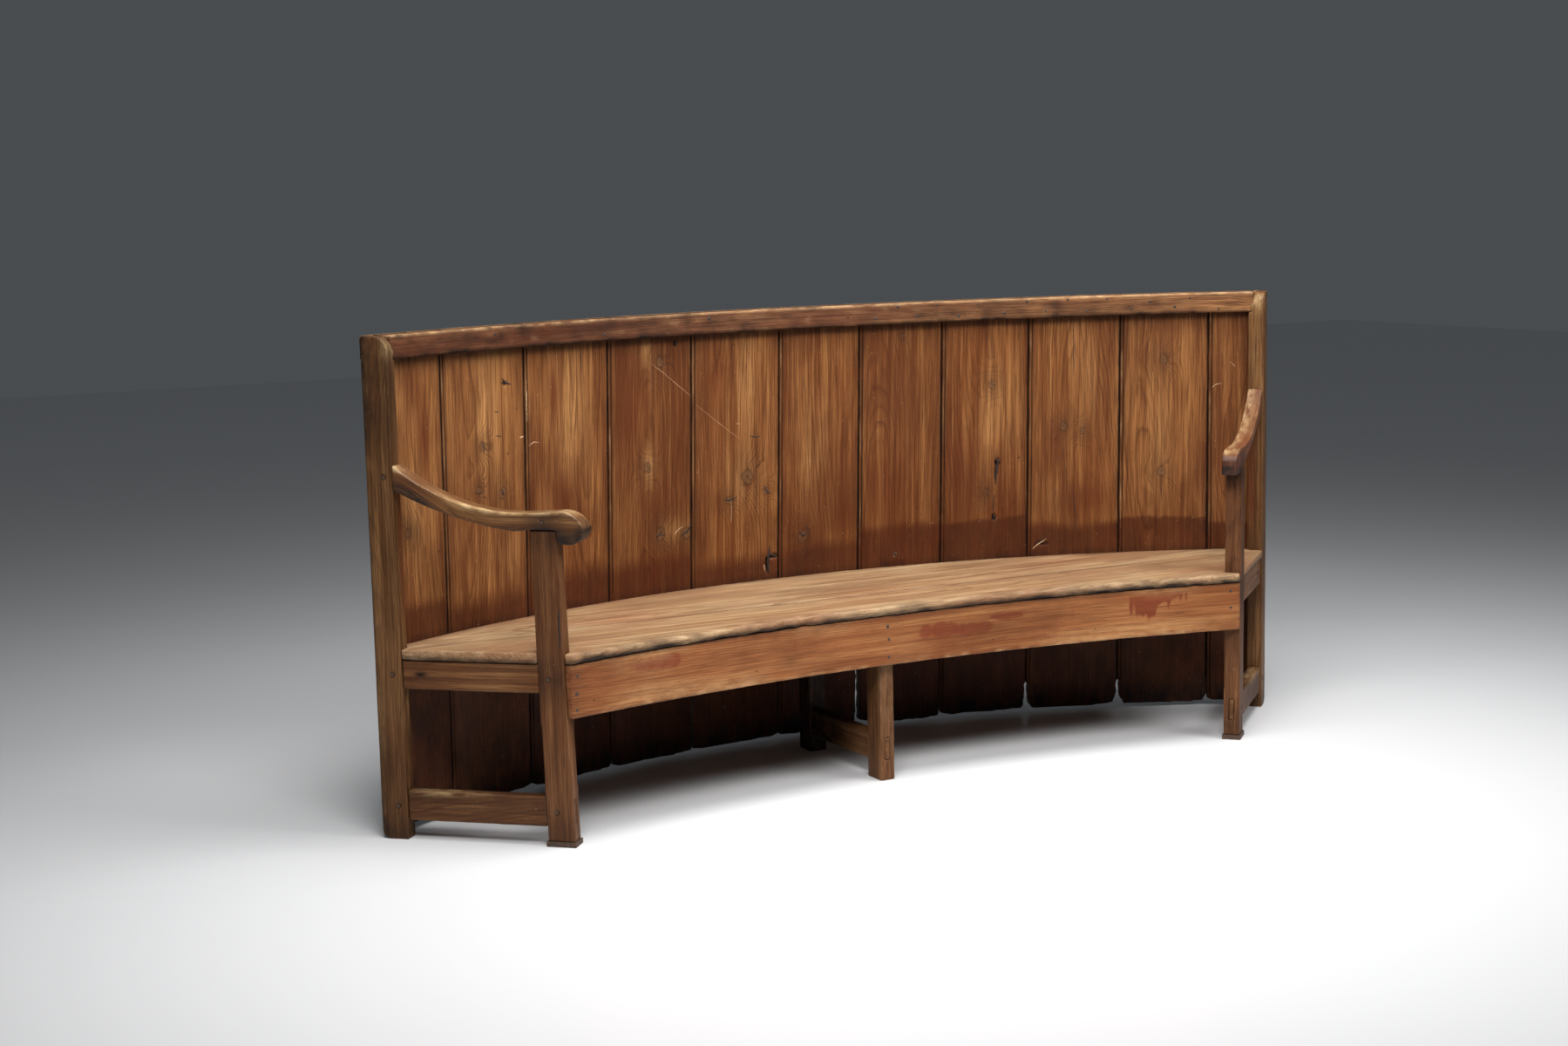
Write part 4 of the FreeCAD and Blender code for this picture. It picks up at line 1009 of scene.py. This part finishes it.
def seatMarks(points):
    x, y, z = points.T
    away = fromCentre(points, seatCentre)
    back = smoothStep(seatRadius - 0.05, seatRadius - 0.004, away)
    awayFront = fromCentre(points, apronCentre)
    front = smoothStep(apronRadius + 0.05, apronRadius - 0.004, awayFront)
    patch = softNoise(points, (3.0, 9.0, 1.0), 321)
    fine = softNoise(points, (14.0, 60.0, 1.0), 322)
    seam = blob(y, bench["chord"] - 0.010, 0.0022)
    tips = smoothStep(0.86, 1.05, np.abs(x) + 0.25 * (y - bench["chord"]))
    stain = softNoise(points, (7.0, 22.0, 1.0), 323)
    dirt = 0.50 * back * (0.6 + 0.4 * fine) + 0.9 * seam * (0.7 + 0.5 * patch) + 0.30 * capped(stain)
    # the darker underside is painted shade under the seat
    dirt += 0.75 * smoothStep(0.447, 0.434, z) + 0.35 * front * capped(fine)
    dirt += 0.10 * tips * capped(0.3 + stain)
    red = 0.70 * capped(-patch) + 0.35 * back + 0.4 * tips * capped(-stain)
    rough = softNoise(points, (26.0, 60.0, 60.0), 324)
    dirt += 0.28 * front * capped(rough) + 0.12 * front
    red += 0.35 * front * capped(-rough)
    wearAndSheen = front * capped(0.12 - 0.4 * rough) * smoothStep(0.444, 0.453, z)
    wearAndSheen += 0.35 * capped(-stain - 0.1)
    return 0.5 * capped(patch), capped(dirt), red, capped(wearAndSheen)


def middleMarks(points):
    patch = softNoise(points, (9.0, 9.0, 3.0), 331)
    # painted shade under the seat: the back pieces and the faces behind the front leg's front are darker
    away = smoothStep(-0.05, 0.1, points[:, 1])
    dirt = 0.16 + 0.25 * patch + 0.70 * away + 0.25 * smoothStep(-0.185, -0.175, points[:, 1])
    wearAndSheen = 0.35 * (1 - away) * capped(patch)
    return 0.5 * (1 - away) * capped(-patch), capped(dirt), 0.0, wearAndSheen


def legGrain(points):
    return stacked(points[:, 0] + 0.03, points[:, 1], points[:, 2] + 4.4)


def crossGrain(points):
    return stacked(points[:, 2], points[:, 0] + 0.03, points[:, 1] + 2.2)


# the seat's front edge is battered and chipped, worst at one place
nose = {
    "knock": 0.0022,
    "nick": 0.0045,
    "chip": 0.010,
    "chipAt": -0.300,
    "chipHalf": 0.016,
    "sag": 0.0012,
    "chipSag": 0.003,
}


def hewNose(points):
    away = fromCentre(points, apronCentre)
    near = smoothStep(apronRadius + 0.030, apronRadius - 0.002, away)
    knock = 0.5 + 0.5 * softNoise(points, (11.0, 11.0, 30.0), 341)
    nick = capped(softNoise(points, (38.0, 38.0, 60.0), 342) - 0.2)
    chip = blob(points[:, 0], nose["chipAt"], nose["chipHalf"])
    push = near * (nose["knock"] * knock + nose["nick"] * nick + nose["chip"] * chip)
    outward = points - np.array((0.0, apronCentre, 0.0))
    outward[:, 2] = 0.0
    moved = points + unitRows(outward) * push[:, None]
    onTop = smoothStep(0.445, 0.456, points[:, 2])
    moved[:, 2] -= near * onTop * (nose["sag"] * knock + nose["chipSag"] * chip)
    return moved


topGrain = bentGrain(topCentre, topRadius, 1.3)
backTopGrain = bentGrain(topCentre, topRadius, 5.3)
apronGrain = bentGrain(apronCentre, apronRadius, 2.9)
finishPiece("front_top_rail", "rail", topGrain, topRailMarks, voxel=0.0034, seed=41)
finishPiece("rear_top_rail", "rail", backTopGrain, topRailMarks, voxel=0.0040, seed=43)
finishPiece("front_apron", "apron", apronGrain, apronMarks, voxel=0.0034, seed=47)
finishPiece("seat_front_board", "seat", seatGrain, seatMarks, "seat_front_worn", voxel=0.0042,
            seed=53, dent=0.0009, hew=hewNose)
finishPiece("seat_back_board", "seat", seatGrain, seatMarks, "seat_back_worn", voxel=0.0046,
            seed=59, dent=0.0009)
for node, slot, grainOf, seed in (("middle_front_leg", "post_pine", legGrain, 61),
                                  ("middle_back_leg", "post_pine", legGrain, 67),
                                  ("middle_stretcher", "rail_pine", crossGrain, 71),
                                  ("middle_bearer", "rail_pine", crossGrain, 73)):
    finishPiece(node, "post", grainOf, middleMarks, seed=seed)
print("rails, apron, seat and middle frame built")


# cracks, chips and scratches laid into the faces

flaws = {
    "thick": 0.0005,
    "step": 0.004,
    "proud": 0.00025,
    "sunk": 0.0006,
}
# on the boards, in millimetres: kind, half width, board, then points across and up
boardFlaws = (
    ("pale", 0.7, 4, (130, 1064), (171, 1035), (262, 966)),
    ("pale", 0.6, 5, (12, 945), (80, 893), (153, 840)),
    ("pale", 1.1, 3, (8, 882), (26, 890), (47, 887)),
    ("pale", 0.9, 5, (134, 886), (150, 884)),
    ("pale", 0.8, 5, (121, 679), (123, 650), (121, 620)),
    ("pale", 2.2, 9, (14, 476), (34, 488), (56, 503)),
    ("dark", 1.6, 9, (22, 487), (40, 498), (52, 507)),
    ("pale", 1.2, 11, (9, 916), (20, 925), (36, 928)),
    ("pale", 0.9, 11, (60, 990), (76, 974)),
    ("pale", 1.4, 3, (6, 1045), (5.5, 1000), (6, 940)),
    ("pale", 3, 2, (250, 905), (262, 909)),
    ("dark", 3, 2, (194, 1058), (205, 1046), (224, 1040)),
    ("dark", 1.4, 2, (166, 979), (182, 975)),
    ("dark", 1.5, 2, (170, 918), (190, 915)),
    ("dark", 3.6, 2, (186, 784), (193, 768)),
    ("dark", 1.4, 2, (95, 786), (120, 781), (132, 788)),
    ("dark", 1.1, 2, (124, 912), (134, 890), (130, 876)),
    ("dark", 4.5, 4, (210, 1120), (212, 1103)),
    ("dark", 1.3, 4, (158, 1075), (166, 1060), (184, 1052)),
    ("dark", 3, 4, (226, 599), (244, 611), (262, 628)),
    ("dark", 2, 4, (146, 606), (160, 612), (176, 608)),
    ("pale", 1.2, 4, (232, 626), (214, 616), (206, 604)),
    ("dark", 1.2, 4, (118, 800), (127, 786)),
    ("dark", 1.6, 5, (176, 850), (200, 846), (214, 850)),
    ("dark", 2.4, 5, (96, 684), (116, 680), (140, 690)),
    ("dark", 2.6, 5, (224, 712), (232, 696), (246, 688)),
    ("dark", 4.4, 5, (243, 548), (240, 520), (236, 500), (240, 470)),
    ("dark", 3, 5, (228, 517), (246, 521), (266, 513)),
    ("pale", 1.8, 5, (225, 497), (230, 474)),
    ("dark", 3, 6, (62, 578), (72, 566), (86, 570)),
    ("dark", 1.6, 6, (82, 590), (92, 576)),
    ("dark", 1, 6, (70, 1010), (71, 960)),
    ("dark", 2.6, 7, (104, 492), (114, 484), (120, 488)),
    ("dark", 1.2, 7, (190, 890), (191, 850)),
    ("dark", 5, 8, (160, 741), (166, 730), (176, 733)),
    ("dark", 4.8, 8, (167, 735), (163, 700), (160, 668)),
    ("dark", 2.4, 8, (158, 640), (155, 600), (157, 585)),
    ("dark", 5.2, 8, (154, 578), (160, 571)),
    ("dark", 1.6, 8, (144, 952), (156, 944)),
    ("dark", 1.8, 9, (128, 1120), (129, 1040), (130, 965)),
    ("dark", 1.4, 9, (132, 640), (136, 600), (139, 560), (141, 517)),
    ("dark", 0.8, 9, (100, 760), (112, 680), (120, 610)),
    ("dark", 1, 3, (176, 1120), (180, 1060)),
    ("dark", 0.9, 10, (118, 640), (124, 600)),
    ("dark", 0.8, 1, (60, 640), (62, 600)),
)
# on the seat's top: kind, half width, then points along and back
seatFlaws = (
    ("dark", 1.1, (-980, -40.6), (-600, -41), (-300, -40.4), (100, -40.9), (620, -40.5), (1120, -40.8)),
    ("dark", 1.6, (-947, -250), (-880, -262), (-800, -258), (-720, -250)),
    ("dark", 1.2, (830, -255), (900, -262), (960, -258)),
    ("dark", 1, (-360, -70), (-240, -66), (-110, -72), (20, -68)),
    ("dark", 0.9, (160, -105), (300, -100), (470, -108), (640, -101)),
    ("dark", 0.8, (420, 60), (560, 64), (700, 58)),
    ("dark", 0.8, (-820, 70), (-700, 75), (-600, 71)),
    ("dark", 1.3, (700, -170), (820, -176), (930, -172)),
    ("dark", 0.9, (-100, 170), (60, 174), (170, 168)),
    ("dark", 3, (-120, -20), (-95, -22)),
    ("dark", 2.6, (130, -30), (150, -33)),
    ("dark", 2.2, (480, -120), (498, -122)),
    ("pale", 1.2, (-700, -120), (-640, -122)),
    ("pale", 1, (300, -20), (360, -24)),
)
# on the left post's outer face: ahead and up
postFlaw = ((462, 560), (459, 530), (461, 500), (458, 466))


def ribbon(points, outward, half, seed):
    # a thin closed strip on a face, pinched at both ends and ragged along its edges
    points = np.asarray(points, dtype=float)
    outward = np.asarray(outward, dtype=float)
    run = np.concatenate(([0.0], np.cumsum(np.linalg.norm(np.diff(points, axis=0), axis=1))))
    count = max(6, int(run[-1] / flaws["step"]) + 1)
    at = np.linspace(0.0, run[-1], count)
    line = np.column_stack([np.interp(at, run, points[:, axis]) for axis in range(3)])
    normals = np.column_stack([np.interp(at, run, outward[:, axis]) for axis in range(3)])
    normals = unitRows(normals)
    across = np.cross(normals, unitRows(np.gradient(line, axis=0)))
    taper = half * np.sin(np.pi * np.clip(at / run[-1], 0.02, 0.98)) ** 0.5
    spot = stacked(at, seed * 1.37, 0.0)
    left = taper * (0.75 + 0.45 * softNoise(spot, (170.0, 1.0, 1.0), 61))
    right = taper * (0.75 + 0.45 * softNoise(spot, (170.0, 1.0, 1.0), 62))
    sway = taper * 0.8 * softNoise(spot, (60.0, 1.0, 1.0), 63)
    front = line + normals * flaws["proud"] + across * sway[:, None]
    back = front - normals * flaws["thick"]
    left = across * left[:, None]
    right = across * right[:, None]
    return np.stack((front - left, front + right, back + right, back - left), axis=1)


def onBoard(board, u, z):
    heights = np.array([z])
    low = seamLine(shares[board - 1], heights)[0]
    along = seamLine(shares[board], heights)[0] - low
    along /= np.linalg.norm(along)
    inside = np.array((-along[1], along[0], 0.0))
    place = low + along * u + inside * faceWave(np.array([u]), heights, board)[0]
    return (place[0], place[1], z), -inside


def buildFlaws():
    onBoards = {"dark": [], "pale": []}
    for number, (kind, half, board, *route) in enumerate(boardFlaws):
        spots, outward = zip(*(onBoard(board, u, z) for u, z in metres(route)))
        onBoards[kind].append(ribbon(spots, outward, half / 1000.0, number))
    onSeat = {"dark": [], "pale": []}
    for number, (kind, half, *route) in enumerate(seatFlaws):
        spots = [(x, y, bench["seatTop"] - flaws["sunk"]) for x, y in metres(route)]
        onSeat[kind].append(ribbon(spots, [(0.0, 0.0, 1.0)] * len(spots), half / 1000.0, number + 70))
    corner, ahead, inward = frameAxes(-1)
    route = [corner + ahead * a + np.array((0.0, 0.0, z)) + inward * 0.0004 for a, z in metres(postFlaw)]
    onPost = [ribbon(route, [-inward] * len(route), 0.0030, 91)]
    for name, strips, material, slot in (("board_cracks", onBoards["dark"], flawDark, "board_pine"),
                                         ("board_scratches", onBoards["pale"], flawPale, "board_pine"),
                                         ("seat_cracks", onSeat["dark"], flawDark, "seat_pine"),
                                         ("seat_scratches", onSeat["pale"], flawPale, "seat_pine"),
                                         ("left_post_crack", onPost, flawDark, "post_pine")):
        addObject(name, stripMesh(name, strips), material)


# pegs and pads keep the model's shapes

def plainWood(name, dark, light, rough):
    material, t, shader = newMaterial(name)
    place = t.add("ShaderNodeTexCoord").outputs["Object"]
    spots = t.noise(place, 160.0, 4.0, 0.6)
    colour = t.mix(t.rise(spots, 0.35, 0.65), dark, light)
    t.link(colour, shader.inputs["Base Color"])
    t.link(t.plus(t.times(spots, 0.3), rough), shader.inputs["Roughness"])
    bump = t.add("ShaderNodeBump", {"Height": spots, "Strength": 0.5, "Distance": 0.0008})
    t.link(bump.outputs["Normal"], shader.inputs["Normal"])
    return material


def dress(node, material):
    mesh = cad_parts[node].data
    mesh.materials.clear()
    mesh.materials.append(material)


flawDark = plainWood("crackShadow", (0.008, 0.004, 0.003), (0.030, 0.014, 0.008), 0.7)
flawPale = plainWood("scratchedWood", (0.30, 0.16, 0.07), (0.58, 0.38, 0.20), 0.5)
buildFlaws()
print("cracks and scratches built")

pegWood = plainWood("pegWood", (0.022, 0.012, 0.007), (0.085, 0.042, 0.019), 0.5)
padWood = plainWood("padWood", (0.030, 0.018, 0.012), (0.095, 0.045, 0.022), 0.55)
for word in ("left", "right"):
    dress(word + "_pegs", pegWood)
    dress(word + "_foot_pad", padWood)


# nails, placed along and up in millimetres

nails = {
    "apron": ((-949, 402), (-953, 362), (-954, 323), (-54, 403), (-51, 370), (-52, 325), (941, 410),
              (942, 365)),
    "rail": ((205, 1146), (271, 1176), (327, 1148), (387, 1176), (451, 1143), (507, 1174), (583, 1147),
             (648, 1176), (702, 1148), (764, 1177), (817, 1144), (873, 1176), (939, 1147), (991, 1165),
             (1056, 1149), (1095, 1172), (1170, 1140), (-300, 1170), (-620, 1146), (-950, 1168)),
    "headRadius": 0.0042,
    "headTall": 0.0016,
    "proud": 0.0006,
    "railThick": 0.0234,
    "railRoom": 0.0003,
}


def nailTree(material):
    # a flattened dome on each place, turned to the place's facing and varied in size
    group = bpy.data.node_groups.new("nailHeads", "GeometryNodeTree")
    face = group.interface
    face.new_socket("Places", in_out="INPUT", socket_type="NodeSocketGeometry")
    for label in ("Head radius", "Head height"):
        face.new_socket(label, in_out="INPUT", socket_type="NodeSocketFloat")
    face.new_socket("Heads", in_out="OUTPUT", socket_type="NodeSocketGeometry")
    t = Tree(group)
    entry = t.add("NodeGroupInput").outputs
    dome = t.add("GeometryNodeMeshUVSphere", {"Segments": 12, "Rings": 6, "Radius": entry["Head radius"]})
    ratio = t.math("DIVIDE", entry["Head height"], entry["Head radius"])
    squash = t.add("ShaderNodeCombineXYZ", {0: 1.0, 1: 1.0, 2: ratio}).outputs[0]
    lower = t.add("GeometryNodeTransform", {"Geometry": dome.outputs["Mesh"], "Scale": squash})
    facing = t.add("GeometryNodeInputNamedAttribute", {"Name": "facing"}, data_type="FLOAT_VECTOR")
    align = t.add("FunctionNodeAlignRotationToVector", {"Vector": facing.outputs["Attribute"]}, axis="Z")
    vary = t.add("FunctionNodeRandomValue", {"Seed": 5}, data_type="FLOAT")
    least, most = [item for item in vary.inputs if item.type == "VALUE"][:2]
    least.default_value = 0.75
    most.default_value = 1.2
    scale = next(item for item in vary.outputs if item.type == "VALUE" and item.enabled)
    place = t.add("GeometryNodeInstanceOnPoints", {"Points": entry["Places"],
                                                   "Instance": lower.outputs["Geometry"],
                                                   "Rotation": align.outputs["Rotation"], "Scale": scale})
    real = t.add("GeometryNodeRealizeInstances", {"Geometry": place.outputs["Instances"]})
    finish = t.add("GeometryNodeSetMaterial", {"Geometry": real.outputs["Geometry"], "Material": material})
    t.add("NodeGroupOutput", {"Heads": finish.outputs["Geometry"]})
    return group


def buildNails():
    iron = plainWood("nailIron", (0.010, 0.008, 0.007), (0.045, 0.028, 0.020), 0.45)
    places = []
    facings = []
    # the flat boards hold the rail this far inside the arc
    sag = (max(boards["widths"]) / 1000.0) ** 2 / (8.0 * topRadius) + nails["railRoom"]
    railFace = topRadius - sag - nails["railThick"]
    for kind, centre, radius in (("apron", apronCentre, apronRadius), ("rail", topCentre, railFace)):
        radius += nails["proud"]
        for x, z in metres(nails[kind]):
            y = centre + math.sqrt(radius ** 2 - x ** 2)
            places.append((x, y, z))
            facings.append(Vector((-x, centre - y, 0.0)).normalized())
    mesh = bpy.data.meshes.new("nailPlaces")
    mesh.from_pydata(places, [], [])
    facing = mesh.attributes.new("facing", "FLOAT_VECTOR", "POINT")
    facing.data.foreach_set("vector", np.array(facings, dtype=np.float32).ravel())
    item = newItem("nails", mesh)
    modifier = item.modifiers.new("heads", "NODES")
    modifier.node_group = nailTree(iron)
    for socket in modifier.node_group.interface.items_tree:
        if socket.item_type == "SOCKET" and socket.in_out == "INPUT" and socket.name != "Places":
            key = {"Head radius": "headRadius", "Head height": "headTall"}[socket.name]
            modifier[socket.identifier] = nails[key]
    depsgraph = bpy.context.evaluated_depsgraph_get()
    done = bpy.data.meshes.new_from_object(item.evaluated_get(depsgraph))
    bpy.data.objects.remove(item)
    addObject("nails", done, iron)


buildNails()
print("nails built")


# floor, backdrop and light

studio = {
    "floorColour": (0.80, 0.80, 0.805),
    "floorRough": 0.24,
    "wallColour": (0.066, 0.073, 0.079),
    "worldColour": (0.90, 0.94, 1.00),
    "worldStrength": 0.075,
}


def buildStage():
    paint, t, shader = newMaterial("floorPaint")
    place = t.add("ShaderNodeTexCoord").outputs["Object"]
    patch = t.noise(place, 0.8, 3.0, 0.5)
    rough = t.plus(t.times(patch, 0.10), studio["floorRough"] - 0.05)
    t.link(rough, shader.inputs["Roughness"])
    shader.inputs["Base Color"].default_value = (*studio["floorColour"], 1.0)
    mesh = bpy.data.meshes.new("floor")
    mesh.from_pydata([(-14, -9, 0), (14, -9, 0), (14, 14, 0), (-14, 14, 0)], [], [(0, 1, 2, 3)])
    mesh.materials.append(paint)
    newItem("floor", mesh)

    world = bpy.data.worlds.new("world")
    world.use_nodes = True
    t = Tree(world.node_tree)
    background = world.node_tree.nodes["Background"]
    path = t.add("ShaderNodeLightPath")
    seen = t.math("MAXIMUM", path.outputs["Is Camera Ray"], path.outputs["Is Transmission Ray"])
    seen = t.math("MAXIMUM", seen, path.outputs["Is Glossy Ray"])
    colour = t.mix(seen, studio["worldColour"], studio["wallColour"])
    strength = t.plus(t.times(seen, 1.0 - studio["worldStrength"]), studio["worldStrength"])
    t.link(colour, background.inputs["Color"])
    t.link(strength, background.inputs["Strength"])
    bpy.context.scene.world = world


lamps = (
    # name, place, aim, width, height, watts, spread
    ("top", (0.1, -0.7, 3.2), (0.1, -0.3, 0.0), 3.4, 1.2, 58.0, 120.0),
    ("key", (-1.5, -2.7, 3.5), (-0.1, -0.1, 0.4), 2.2, 1.3, 56.0, 110.0),
    ("fill", (2.1, -2.7, 3.3), (0.5, -0.1, 0.5), 1.8, 1.2, 27.0, 110.0),
)


def buildLamps():
    for name, place, aim, wide, high, watts, spread in lamps:
        data = bpy.data.lights.new(name, "AREA")
        data.shape = "RECTANGLE"
        data.size = wide
        data.size_y = high
        data.energy = watts
        data.spread = math.radians(spread)
        item = newItem(name, data)
        item.location = place
        item.rotation_euler = (Vector(aim) - Vector(place)).to_track_quat("-Z", "Y").to_euler()


buildStage()
buildLamps()
bpy.context.scene.view_settings.view_transform = "Standard"
print("stage ready")
